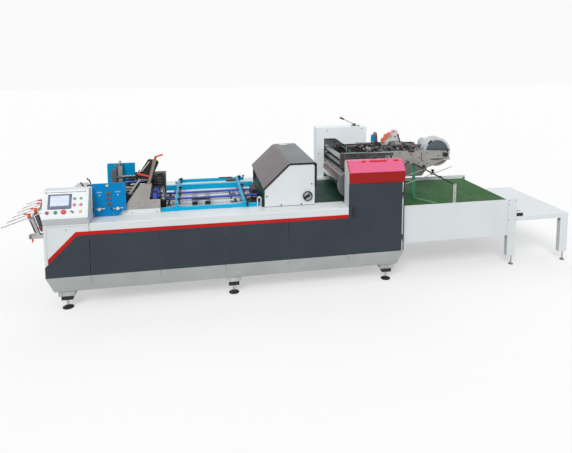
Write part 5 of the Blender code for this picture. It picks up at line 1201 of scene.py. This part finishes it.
# Film arm: dark cross rods, clamps and film guides between its plates.
arm = dict(
    nearFace=0.58, between=(0.6003, 1.0197), mechanismFace=1.019,
    nearStrips=(((3.05, 1.205), (3.585, 1.302), 0.001, "darkCasting", 0.0004),
        ((3.585, 1.262), (3.64, 1.3), 0.0008, "darkCasting", 0.0004),
        ((3.6, 1.214), (3.622, 1.262), 0.003, "blackPlastic", 0.001),
        ((3.05, 1.299), (3.7, 1.3095), 0.002, "brightSteel", 0.0006),
        ((2.999, 1.15), (3.048, 1.3099), 0.003, "darkCasting", 0.001)),
    nearCorner=(((3.986, 1.19), (3.9925, 1.292), 0.0022, "blackPlastic", 0.0006),
        ((3.9925, 1.184), (4.015, 1.19), 0.0022, "blackPlastic", 0.0006)),
    nearPads=(((4.085, 1.203), (4.262, 1.207), 0.0018, "darkCasting", 0.0005),
        ((4.02, 1.13), (4.085, 1.3), 0.0015, "machinedPlate", 0.0006)),
    rings=((3.56, 1.248, 0.021), (3.07, 1.249, 0.018), (3.905, 1.322, 0.014), (3.945, 1.318, 0.014)),
    plateScrews=((3.13, 1.225), (3.25, 1.29), (3.34, 1.24), (3.47, 1.285), (3.64, 1.23), (3.72, 1.29),
        (3.96, 1.225), (3.955, 1.16), (4.06, 1.275), (4.06, 1.15), (4.2, 1.24), (3.76, 1.18)),
    mechanismBolts=((3.47, 1.215), (3.56, 1.29), (3.61, 1.24), (3.285, 1.215)),
    crossRods=((3.33, 1.318, 0.013), (3.398, 1.338, 0.01), (3.47, 1.322, 0.014), (3.545, 1.345, 0.01),
        (3.62, 1.322, 0.013), (3.7, 1.342, 0.01), (3.775, 1.322, 0.013), (3.85, 1.338, 0.01),
        (3.925, 1.326, 0.012)),
    slides=((0.625, 1.352, 3.3, 3.64, "darkCasting"), (0.7, 1.362, 3.56, 3.96, "anodised"),
        (0.86, 1.358, 3.28, 3.98, "darkCasting"), (0.96, 1.35, 3.3, 3.9, "brightSteel")),
    grips=(((3.469, 0.615, 1.34), (3.495, 0.615, 1.388), 0.0095),
        ((3.532, 0.615, 1.352), (3.56, 0.615, 1.326), 0.01),
        ((3.7, 0.615, 1.352), (3.762, 0.615, 1.33), 0.0095),
        ((3.79, 0.615, 1.352), (3.85, 0.615, 1.322), 0.008),
        ((3.585, 0.615, 1.35), (3.606, 0.615, 1.325), 0.01),
        ((3.365, 0.66, 1.392), (3.4, 0.66, 1.36), 0.008)),
    heads=((3.35, 0.63, 1.345, 0.06, "machinedPlate"), (3.425, 0.7, 1.37, 0.05, "darkCasting"),
        (3.52, 0.66, 1.32, 0.056, "machinedPlate"), (3.64, 0.64, 1.33, 0.06, "brownSteel"),
        (3.68, 0.72, 1.378, 0.05, "anodised"), (3.74, 0.72, 1.375, 0.07, "machinedPlate"),
        (3.83, 0.8, 1.35, 0.06, "anodised"), (3.88, 0.7, 1.345, 0.05, "darkCasting")),
    topKnobs=((3.385, 0.62, 1.398), (3.44, 0.64, 1.384), (3.605, 0.64, 1.374), (3.8, 0.66, 1.368)),
    tensionDiscs=((3.57, 1.417), (3.605, 1.464), (3.642, 1.482)),
    coverOutline=((4.09, 1.202), (4.262, 1.206), (4.24, 1.19), (4.19, 1.182), (4.13, 1.188)),
    cablePath=((3.34, 1.25), (3.42, 1.268), (3.48, 1.232), (3.56, 1.225)),
    wedgeOutline=((3.275, 1.18), (3.44, 1.18), (3.4, 1.25), (3.3, 1.29)),
    headBack=((3.478, 1.392), (3.514, 1.392), (3.512, 1.45), (3.506, 1.488), (3.498, 1.508), (3.484, 1.508),
        (3.47, 1.488), (3.466, 1.44)),
    headFront=((3.44, 1.394), (3.476, 1.394), (3.474, 1.476), (3.462, 1.482), (3.446, 1.47)),
    hornOutline=((3.56, 1.338), (3.552, 1.392), (3.585, 1.45), (3.625, 1.488), (3.68, 1.488),
        (3.69, 1.338)),
    archOutline=((3.674, 1.395), (3.776, 1.395), (3.776, 1.49), (3.766, 1.516), (3.75, 1.534),
        (3.712, 1.534), (3.688, 1.518), (3.676, 1.49)),
    paleDisc=[(0.0, 0.0), (0.046, 0.0), (0.052, 0.004), (0.052, 0.024), (0.046, 0.028), (0.0, 0.028)],
    tensionDisc=[(0.0, 0.0), (0.028, 0.0), (0.0295, 0.003), (0.0295, 0.01), (0.026, 0.013), (0.018, 0.011),
        (0.0, 0.011)],
    beams=(((3.408, 0.76, armTop), (4.008, 0.8, 1.3403), "anodised", 0.002),
        ((3.448, 0.5803, armTop), (3.488, 1.0397, 1.3353), "darkCasting", 0.002),
        ((3.928, 0.5803, armTop), (3.968, 1.0397, 1.3353), "darkCasting", 0.002)),
    boxes=(((3.65, 0.77, 1.345), (3.8, 0.82, 1.396), "anodised", 0.004),
        ((3.967, 0.88, 1.3106), (4.03, 0.92, 1.352), "blackPlastic", 0.003),
        ((3.94, 0.86, 1.34), (4.02, 0.9, 1.354), "blackPlastic", 0.003)),
)


def buildArmPlates():
    face = arm["nearFace"] - clearance
    parts = [(copyNode("arm_plate_near", 0.0015), "machinedPlate"),
             *against(face, arm["nearStrips"]),
             bar((3.821, face - 0.016, 1.3095), (3.892, face - 0.016, 1.305), 0.01, "blackPlastic"),
             disc((3.861, face, 1.262), -inward, 0.009, 0.0015, "blackPlastic", 0.0004),
             *against(face, arm["nearCorner"]),
             bar((3.775, face - 0.01, 1.143), (3.84, face - 0.01, 1.19), 0.0062, "blackPlastic"),
             block((4.264, face - 0.024, 1.226), (4.296, face, 1.275), "blackPlastic", 0.003),
             disc((4.296, face - 0.013, 1.25), across, 0.022, 0.018, "blackPlastic", 0.003),
             block((4.262, face - 0.014, 1.187), (4.3496, face, 1.206), "brightSteel", 0.002),
             plate(section(face, arm["coverOutline"]), -inward * 0.0012, "flangeGrey", 0.0004),
             *against(face, arm["nearPads"])]
    for x, z, radius in arm["rings"]:
        profile = [(radius * 0.55, 0.0), (radius, 0.0), (radius, 0.006), (radius * 0.9, 0.009),
                   (radius * 0.55, 0.009), (radius * 0.55, 0.0)]
        parts += [lathe((x, face, z), -inward, profile, "brightSteel", 24),
                  disc((x, face, z), -inward, radius * 0.5, 0.012, "blackPlastic", 0.001, 20)]
    parts += fixings(capScrew, face - 0.0008, arm["plateScrews"], -inward, 0.0062)
    parts += starKnob(at(4.33, 0.592, 1.286), upward, 0.017, 0.018)
    parts += [bar((4.33, 0.592, 1.262), (4.33, 0.592, 1.288), 0.006, "blackPlastic"),
              bar((3.972, 0.64, 1.32), (4.006, 0.64, 1.376), 0.008, "blackPlastic", 12, 0.002)]
    # Pale disc behind the reel on a short stub of the far plate.
    parts += [lathe((4.14, 0.905, 1.35), inward, arm["paleDisc"], "clearGrey", 40),
              bar((4.14, 0.93, 1.29), (4.14, 1.0197, 1.29), 0.009, "brightSteel"),
              box((4.14, 0.935, 1.318), (0.024, 0.01, 0.08), "darkCasting", 0.002),
              tube(section(face - 0.012, arm["cablePath"]), 0.0045, "anodised")]
    piece = makePiece("armPlateNear", parts, ["arm_plate_near"])
    paintFaces(piece, "darkCasting", lambda place, normal: place.x < 3.012 and place.y > 0.5799)

    # Dark mechanism in front of the far plate, above the drum.
    back = arm["mechanismFace"]
    parts = [block((3.205, back - 0.003, 1.175), (3.64, back, 1.309), "darkCasting", 0.0006),
             block((3.222, back - 0.03, 1.15), (3.25, back - 0.003, 1.262), "tongueGreen", 0.003),
             plate(section(back - 0.003, arm["wedgeOutline"]), -inward * 0.02, "brownSteel", 0.003),
             bar((3.345, back - 0.06, 1.262), (3.345, back - 0.003, 1.262), 0.024, "darkCasting", 20),
             bar((3.345, back - 0.066, 1.262), (3.345, back - 0.06, 1.262), 0.011, "brightSteel", 16),
             bar((3.33, back - 0.04, 1.312), (3.52, back - 0.04, 1.205), 0.011, "blackPlastic"),
             bar((3.4, back - 0.05, 1.325), (3.6, back - 0.05, 1.225), 0.009, "darkSteel"),
             bar((3.43, back - 0.07, 1.3), (3.5, back - 0.07, 1.235), 0.01, "machinedPlate"),
             block((3.54, back - 0.04, 1.225), (3.585, back - 0.003, 1.262), "brightSteel", 0.004)]
    parts += fixings(hexBolt, back - 0.0035, arm["mechanismBolts"], -inward, 0.018)
    makePiece("armMechanism", parts)


def buildFilmGuides():
    near, far = arm["between"]
    parts = []
    # Cross rods with blocks and knobs, light and dark in turn.
    for number, (x, z, radius) in enumerate(arm["crossRods"]):
        finish = ("anodised", "darkCasting", "brightSteel")[number % 3]
        parts.append(bar((x, near, z), (x, far, z), radius, finish, 20))
        for y in (0.64 + 0.03 * (number % 2), 0.78, 0.93 - 0.04 * (number % 3)):
            parts.append(box((x, y, z + 0.002), (0.034, 0.03, 0.04), "blackPlastic", 0.004))
            parts += capScrew(at(x, y, z + 0.022), upward, 0.0065,
                              ("buttonRose", "brightSteel")[number % 2])
    # Long slides from the drum end to the reel end.
    parts += [block((start, y - 0.012, z - 0.008), (end, y + 0.012, z + 0.008), finish, 0.002)
              for y, z, start, end, finish in arm["slides"]]
    parts += [bar(first, last, radius, "blackPlastic", 14, 0.002, radius * 0.75)
              for first, last, radius in arm["grips"]]
    parts += [box((x, y, z), (size, 0.04, size * 0.55), finish, 0.005, Matrix.Rotation(0.35, 3, "Y"))
              for x, y, z, size, finish in arm["heads"]]
    for x, y, z in arm["topKnobs"]:
        parts += starKnob(at(x, y, z), upward, 0.015, 0.014)
    makePiece("filmSlides", parts)

    # Film head, tension discs, the clear arch and the flat box behind it.
    parts = [*blocks(arm["beams"]),
             plate(section(0.771, arm["hornOutline"]), inward * 0.009, "clearGrey", 0.002),
             plate(section(0.778, arm["headBack"]), inward * 0.044, "brownSteel", 0.003),
             plate(section(0.774, arm["headFront"]), inward * 0.052, "bluePaint", 0.003),
             box((3.483, 0.7775, 1.49), (0.014, 0.008, 0.02), "bandPink", 0.002),
             bar((3.5, 0.78, 1.392), (3.56, 0.78, 1.362), 0.01, "brownSteel")]
    for x, z in arm["tensionDiscs"]:
        parts += [lathe((x, 0.76, z), -inward, arm["tensionDisc"], "coralPlastic"),
                  disc((x, 0.75, z), -inward, 0.008, 0.004, "anodised")]
    parts += [plate(section(0.782, arm["archOutline"]), inward * 0.03, "clearGrey", 0.004),
              block((3.7765, 0.784, 1.41), (3.786, 0.808, 1.48), "bandPink", 0.003),
              block((3.69, 0.78, 1.42), (3.698, 0.782, 1.5), "brightSteel", 0.001),
              disc((3.733, 0.7815, 1.447), -inward, 0.01, 0.002, "blackPlastic", 0.0005),
              block((3.69, 0.7805, 1.5), (3.73, 0.782, 1.52), "bandPink", 0.001),
              bar((3.765, 0.776, 1.471), (3.795, 0.776, 1.395), 0.0075, "blackPlastic"),
              *blocks(arm["boxes"])]
    makePiece("filmGuides", parts, ["film_guides"])


# Film reel: its bolts go round the hub, by angle.
reel = dict(
    axle=(4.215, 1.272), boltAngles=(70, 110, 150, 190, 250, 310),
    clipOutline=((4.094, 1.374), (4.112, 1.362), (4.148, 1.404), (4.134, 1.42)),
    filmProfile=[(0.045, 0.0), (0.17, 0.0), (0.172, 0.002), (0.1712, 0.03), (0.172, 0.048), (0.1714, 0.09),
        (0.172, 0.148), (0.17, 0.15), (0.045, 0.15), (0.045, 0.0)],
    flangeProfile=[(0.04, 0.004), (0.06, 0.004), (0.066, 0.002), (0.12, 0.002), (0.126, 0.0), (0.1385, 0.0),
        (0.142, 0.003), (0.142, 0.0118), (0.04, 0.0118), (0.04, 0.004)],
    nearHub=[(0.0, 0.0), (0.015, 0.0), (0.015, 0.0207), (0.044, 0.0207), (0.045, 0.022), (0.045, 0.0365),
        (0.0, 0.0365)],
    farHub=[(0.0, 0.0), (0.045, 0.0), (0.045, 0.025), (0.015, 0.025), (0.015, 0.2297), (0.0, 0.2297)],
)


def buildReel():
    x, z = reel["axle"]
    parts = [lathe((x, 0.645, z), inward, reel["filmProfile"], "filmRoll", 72),
             lathe((x, 0.633, z), inward, reel["flangeProfile"], "flangeGrey", 64),
             lathe((x, 0.6003, z), inward, reel["nearHub"], "brownSteel", 40),
             lathe((x, 0.79, z), inward, reel["farHub"], "brightSteel", 40),
             plate(section(0.6445, reel["clipOutline"]), -inward * 0.008, "blackPlastic", 0.002)]
    for angle in reel["boltAngles"]:
        out = Vector((math.cos(math.radians(angle)), 0, math.sin(math.radians(angle))))
        parts.append(disc(at(x, 0.621, z) + out * 0.031, -inward, 0.0062, 0.0045, "brightSteel", 0.001, 6))
    piece = makePiece("filmReel", parts, ["film_reel"], body="reel")
    # The film's near face below the hub gets a warmer, darker colour.
    paintFaces(piece, "filmLowerFace", lambda place, normal: normal.y < -0.8 and abs(place.y - 0.645) < 0.0015
               and place.z < z - 0.02)


# Sheet guides: a flat post, a slanted rod, clamps with star knobs and two wires; the green tongue.
guide = dict(
    low=(4.211, 0.1643, 0.988), high=(3.798, 0.573, 1.206), slope=17.6,
    wires=((0.448, 0.344, 0.242), (0.628, 0.225, 0.021)), postScrews=(0.815, 0.9),
    postOutline=((4.1914, 0.75), (4.2306, 0.75), (4.2306, 0.992), (4.224, 0.9997), (4.198, 0.9997),
        (4.1914, 0.992)),
    tongueOutline=((3.869, 1.142), (3.906, 1.142), (3.91, 0.958), (3.914, 0.8), (3.93, 0.747),
        (3.888, 0.747), (3.875, 0.8), (3.871, 0.958)),
)


def buildSheetGuide():
    low, high = at(*guide["low"]), at(*guide["high"])
    slope = math.radians(guide["slope"])
    run = Vector((math.cos(slope), 0.0, math.sin(slope)))
    parts = [plate(section(0.1613, guide["postOutline"]), inward * 0.008, "brightSteel"),
             disc((4.211, 0.1615, 0.986), -inward, 0.007, 0.0025, "buttonRose", 0.0008),
             bar(low, low.lerp(high, 0.86), 0.0082, "blackPlastic", 16),
             bar(low.lerp(high, 0.85), high, 0.0055, "machinedPlate", 16),
             disc((3.798, 0.5797, 1.206), -inward, 0.012, 0.01, "machinedPlate")]
    for z in guide["postScrews"]:
        parts += capScrew(at(4.211, 0.1615, z), -inward, 0.0042)
    for share, back, ahead in guide["wires"]:
        hold = low.lerp(high, share)
        wire = hold - inward * 0.015
        parts += [bar(wire - run * back, wire + run * ahead, 0.0045, "brightSteel", 10),
                  bar(hold - run * 0.02, hold + run * 0.02, 0.016, "blackPlastic", 16, 0.002),
                  bar(hold, hold + upward * 0.026, 0.0056, "blackPlastic", 12)]
        parts += starKnob(hold + upward * 0.016, upward, 0.019, 0.018)
    knob = low.lerp(high, 0.3)
    parts.append(bar(knob - run * 0.01, knob + run * 0.014, 0.013, "blackPlastic", 14, 0.002))
    parts += starKnob(knob + upward * 0.002, (0.8, -0.3, 0.1), 0.011, 0.012)
    makePiece("sheetGuide", parts, ["sheet_guide"])

    laid = [at(3.888, 0.56, 0.745), at(3.93, 0.56, 0.745), at(4.1, 0.32, 0.745), at(4.03, 0.32, 0.745)]
    parts = [plate(section(0.56, guide["tongueOutline"]), inward * 0.0015, "tongueGreen", 0.0),
             plate(laid, upward * 0.0022, "tongueGreen", 0.0),
             block((3.862, 0.56, 1.136), (3.91, 0.5797, 1.148), "anodised", 0.001)]
    makePiece("greenTongue", parts)


# Delivery: screws and the end plate's seam, nuts on the feet, stop box with its buttons.
delivery = dict(
    frontFace=0.158, backFace=1.378,
    frontScrews=((4.898, 0.772), (4.984, 0.77), (4.892, 0.727), (4.984, 0.541), (4.898, 0.541)),
    backScrews=((4.898, 0.772), (4.984, 0.77), (4.892, 0.727)),
    nuts=((4.973, 0.1915), (4.973, 1.3445), (5.652, 0.192), (5.652, 1.344)),
)


def buildDelivery():
    face = delivery["frontFace"] - 0.0001
    parts = [(copyNode("delivery_plate_front", 0.0006), "whitePaint")]
    parts += fixings(capScrew, face, delivery["frontScrews"], -inward, 0.0048, "anodised")
    parts.append(block((4.88, face - 0.0004, 0.368), (4.8815, face, 0.78), "anodised", 0.0))
    makePiece("deliveryPlateFront", parts, ["delivery_plate_front"])
    parts = [(copyNode("delivery_plate_back", 0.0006), "whitePaint")]
    parts += fixings(capScrew, delivery["backFace"] + 0.0001, delivery["backScrews"], inward, 0.0048,
                     "anodised")
    parts.append(disc((4.97, 1.375, 0.752), -inward, 0.0095, 0.03, "blackPlastic", 0.002))
    makePiece("deliveryPlateBack", parts, ["delivery_plate_back"])

    for node, finish in (("delivery_legs", "whitePaint"), ("receiving_table", "paleTable")):
        piece = makePiece(camel(node) + "Body", [(copyNode(node, 0.0018), finish)], [node])
        paintFaces(piece, "brightSteel", lambda place, normal: place.z < 0.1095)
        paintFaces(piece, "blackPlastic", lambda place, normal: place.z < 0.0058)
    parts = [disc((x, y, 0.096), upward, 0.015, 0.0135, "brightSteel", 0.001, 6)
             for x, y in delivery["nuts"]]
    parts += [block((5.548, 0.1605, 0.498), (5.578, 0.1619, 0.52), "anodised", 0.0006),
              disc((5.563, 0.1605, 0.509), -inward, 0.006, 0.003, "blackPlastic", 0.0008)]
    makePiece("legNuts", parts)

    parts = [block((4.9955, 0.1581, 0.5784), (5.079, 0.2079, 0.618), "blackPlastic", 0.002),
             block((4.996, 0.159, 0.6182), (5.0785, 0.207, 0.629), "brightWhite", 0.002),
             disc((5.018, 0.183, 0.629), upward, 0.01, 0.0128, "buttonRed", 0.002),
             block((5.034, 0.17, 0.629), (5.062, 0.196, 0.631), "buttonGreen", 0.0006)]
    makePiece("stopBox", parts, ["stop_box"])


# Rack: orange clamps on the rods, slotted posts and a lever under the bar.
rack = dict(
    rods=6, firstRod=0.36, rodStep=0.164, slotFaces=(0.3795, 0.4205),
    rodSlot=((-0.226, 0.815), (-0.214, 0.815), (-0.163, 0.672), (-0.175, 0.672)),
    plateOutline=((-0.204, 0.838), (-0.168, 0.838), (-0.112, 0.65), (-0.148, 0.65)),
    plateSlot=((-0.172, 0.83), (-0.16, 0.83), (-0.116, 0.68), (-0.128, 0.68)),
)


def buildRack():
    parts = [(copyNode("feed_rack", 0.0008), "brightSteel")]
    for y, sink in zip(rack["slotFaces"], (-0.0008, 0.0008)):
        parts.append(plate(section(y, rack["rodSlot"]), inward * sink, "blackPlastic", 0.0))
    parts += [plate(section(0.47, rack["plateOutline"]), inward * 0.04, "anodised", 0.002),
              plate(section(0.469, rack["plateSlot"]), -inward * 0.001, "blackPlastic", 0.0)]
    for number in range(rack["rods"]):
        y = rack["firstRod"] + rack["rodStep"] * number
        hold = at(-0.215 + 0.016 * (number % 3), y, 0.838 + 0.0055 * (number % 3))
        parts.append(box(hold + upward * 0.006, (0.026, 0.024, 0.026), "orangePlastic", 0.003))
        parts += clampLever(hold + upward * 0.01, (0.35, 0, 1), (-0.055, -0.006, 0.004), "orangePlastic",
                            1.05)
    parts.append(box((-0.135, 0.448, 0.7), (0.04, 0.02, 0.02), "buttonCrimson", 0.004))
    parts += clampLever(at(-0.205, 0.4, 0.6095), (0, 0, -1), (0.0, -0.004, -0.022), "orangePlastic", 0.9)
    parts.append(block((-0.23, 0.3745, 0.6105), (-0.205, 0.3757, 0.6495), "anodised", 0.0005))
    makePiece("feedRack", parts, ["feed_rack"])


# Foot beams with black blocks, a bolt at each end and nuts over the feet.
feet = dict(stations=(0.163, 1.752, 3.394), boltSides=((0.066, -1), (1.474, 1)), footPlaces=(0.108, 1.432))


def buildFeet():
    for number, station in enumerate(feet["stations"], start=1):
        node = f"foot_beam_{number}"
        parts = [(copyNode(node, 0.002), "framePaint")]
        for y, way in feet["boltSides"]:
            parts += hexBolt(at(station - 0.045, y - way * 0.002, 0.155), (0, way, 0), 0.018)
        piece = makePiece(camel(node) + "Body", parts, [node])
        paintFaces(piece, "blackPlastic", lambda place, normal: place.z < 0.1292)
        parts = []
        for y in feet["footPlaces"]:
            parts += [bar((station, y, 0.032), (station, y, 0.0845), 0.0125, "brightSteel", 16),
                      disc((station, y, 0.07), upward, 0.019, 0.014, "brightSteel", 0.001, 6)]
        makePiece(f"footNuts{number}", parts)


# Kick plate seams at the bays, and turn latches on the back panels.
fittings = dict(
    bays=5, firstBay=0.402, bayWidth=0.634, panelSink=0.0016,
    latches=((0.06, 0.72), (0.56, 0.72), (0.06, 0.4), (0.56, 0.4)),
)


def buildSmallFittings():
    parts = []
    for bay in range(fittings["bays"]):
        x = fittings["firstBay"] + fittings["bayWidth"] * bay
        seam = [(x - 0.001, 0.3415), (x + 0.001, 0.3415), (x + 0.001, 0.262), (x - 0.001, 0.262)]
        parts.append(plate(section(-clearance, seam), inward * 0.0006, "anodised", 0.0))
    makePiece("kickPlateSeams", parts)
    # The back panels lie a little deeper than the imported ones, so that the latches end level with them.
    panels = copyNode("back_panels", 0.0012)
    outer = [vert for vert in panels.verts if vert.co.y > machineFront + 1.537]
    bmesh.ops.translate(panels, vec=-inward * fittings["panelSink"], verts=outer)
    makePiece("backPanelsBody", [(panels, "darkPaint")], ["back_panels"])
    parts = []
    for bay in range(fittings["bays"]):
        left = fittings["firstBay"] + fittings["bayWidth"] * bay
        # The last bay is a little narrower than the others.
        share = 1.0 if bay < fittings["bays"] - 1 else 0.98
        for x, z in fittings["latches"]:
            place = at(left + x * share, 1.54 - fittings["panelSink"], z)
            parts += [disc(place, inward, 0.011, 0.0012, "anodised", 0.0005),
                      box(place + inward * 0.0012, (0.0035, 0.0006, 0.013), "blackPlastic", 0.0001)]
    makePiece("backLatches", parts)


buildTransfer()
buildHood()
print("transfer and hood built")
buildFarFrame()
buildDrum()
buildTallCabinet()
buildArmPlates()
buildFilmGuides()
buildReel()
buildSheetGuide()
buildDelivery()
buildRack()
buildFeet()
buildSmallFittings()
print("patching unit, delivery and rack built")

for node, (finish, soft) in plainNodes.items():
    dressNode(node, finish, soft)
print("nodes dressed:", len(plainNodes))

# Pale studio: floor, soft lamps and the camera.
studio = dict(floorSide=60.0, floorColour=(0.45, 0.45, 0.45), floorGlow=0.47, sky=0.6, backdrop=0.956)
lamps = {"keyLamp": dict(toward=(-0.4, -1.0, 0.95), strength=1.84, spread=26.0),
         "fillLamp": dict(toward=(0.9, -0.35, 0.8), strength=0.3, spread=40.0),
         "backLamp": dict(toward=(0.2, 0.9, 1.0), strength=0.35, spread=40.0)}


def makeStage():
    shape = bmesh.new()
    bmesh.ops.create_grid(shape, x_segments=2, y_segments=2, size=studio["floorSide"] / 2)
    bmesh.ops.translate(shape, vec=(0, 0, -0.0005), verts=shape.verts)
    mesh = bpy.data.meshes.new("studioFloor")
    shape.to_mesh(mesh)
    shape.free()
    floor = bpy.data.objects.new("studioFloor", mesh)
    bpy.context.scene.collection.objects.link(floor)
    material = bpy.data.materials.new("paleFloor")
    material.use_nodes = True
    tree = material.node_tree
    shader = tree.nodes["Principled BSDF"]
    shader.inputs["Base Color"].default_value = (*studio["floorColour"], 1.0)
    shader.inputs["Roughness"].default_value = 0.9
    shader.inputs["Specular IOR Level"].default_value = 0.1
    rays = addNode(tree, "LightPath").outputs
    seen = addMath(tree, "MAXIMUM", rays["Is Camera Ray"], rays["Is Glossy Ray"])
    shader.inputs["Emission Color"].default_value = (1.0, 1.0, 1.0, 1.0)
    tree.links.new(addMath(tree, "MULTIPLY", seen, studio["floorGlow"]), shader.inputs["Emission Strength"])
    mesh.materials.append(material)

    world = bpy.data.worlds.new("studioSky")
    bpy.context.scene.world = world
    world.use_nodes = True
    sky = world.node_tree
    rays = addNode(sky, "LightPath").outputs
    seen = addMath(sky, "MAXIMUM", rays["Is Camera Ray"], rays["Is Transmission Ray"])
    lit = addNode(sky, "MapRange", {0: seen, 3: studio["sky"], 4: studio["backdrop"]})
    sky.links.new(lit.outputs[0], sky.nodes["Background"].inputs["Strength"])
    sky.nodes["Background"].inputs["Color"].default_value = (1.0, 1.0, 1.0, 1.0)


def makeLamps():
    for name, look in lamps.items():
        light = bpy.data.lights.new(name, "SUN")
        light.energy = look["strength"]
        light.angle = math.radians(look["spread"])
        lamp = bpy.data.objects.new(name, light)
        lamp.rotation_euler = Vector(look["toward"]).to_track_quat("Z", "Y").to_euler()
        bpy.context.scene.collection.objects.link(lamp)


# Camera in the photo's place: focal length and centre are in the picture's own pixels.
photo = dict(width=572, height=453, focal=533.3, centreX=309.7, centreY=109.9,
             fromLeft=1.399, fromFront=-5.181, aboveFloor=2.473, yaw=12.18, pitch=6.37, roll=0.19)


def makeCamera():
    yaw, pitch, roll = (math.radians(photo[key]) for key in ("yaw", "pitch", "roll"))
    ahead = Vector((math.sin(yaw) * math.cos(pitch), math.cos(yaw) * math.cos(pitch), -math.sin(pitch)))
    level = Vector((math.cos(yaw), -math.sin(yaw), 0.0))
    above = level.cross(ahead)
    right = level * math.cos(roll) + above * math.sin(roll)
    up = above * math.cos(roll) - level * math.sin(roll)
    data = bpy.data.cameras.new("photoCamera")
    data.sensor_width = 36.0
    data.lens = photo["focal"] / photo["width"] * data.sensor_width
    data.shift_x = (photo["width"] / 2 - photo["centreX"]) / photo["width"]
    data.shift_y = (photo["centreY"] - photo["height"] / 2) / photo["width"]
    data.clip_end = 200.0
    camera = bpy.data.objects.new("photoCamera", data)
    bpy.context.scene.collection.objects.link(camera)
    turn = Matrix((right, up, -ahead)).transposed().to_4x4()
    camera.matrix_world = Matrix.Translation(at(photo["fromLeft"], photo["fromFront"],
                                                photo["aboveFloor"])) @ turn
    bpy.context.scene.camera = camera


makeStage()
makeLamps()
makeCamera()
bpy.context.scene.view_settings.view_transform = "Standard"
print("studio ready")

bpy.context.view_layer.update()
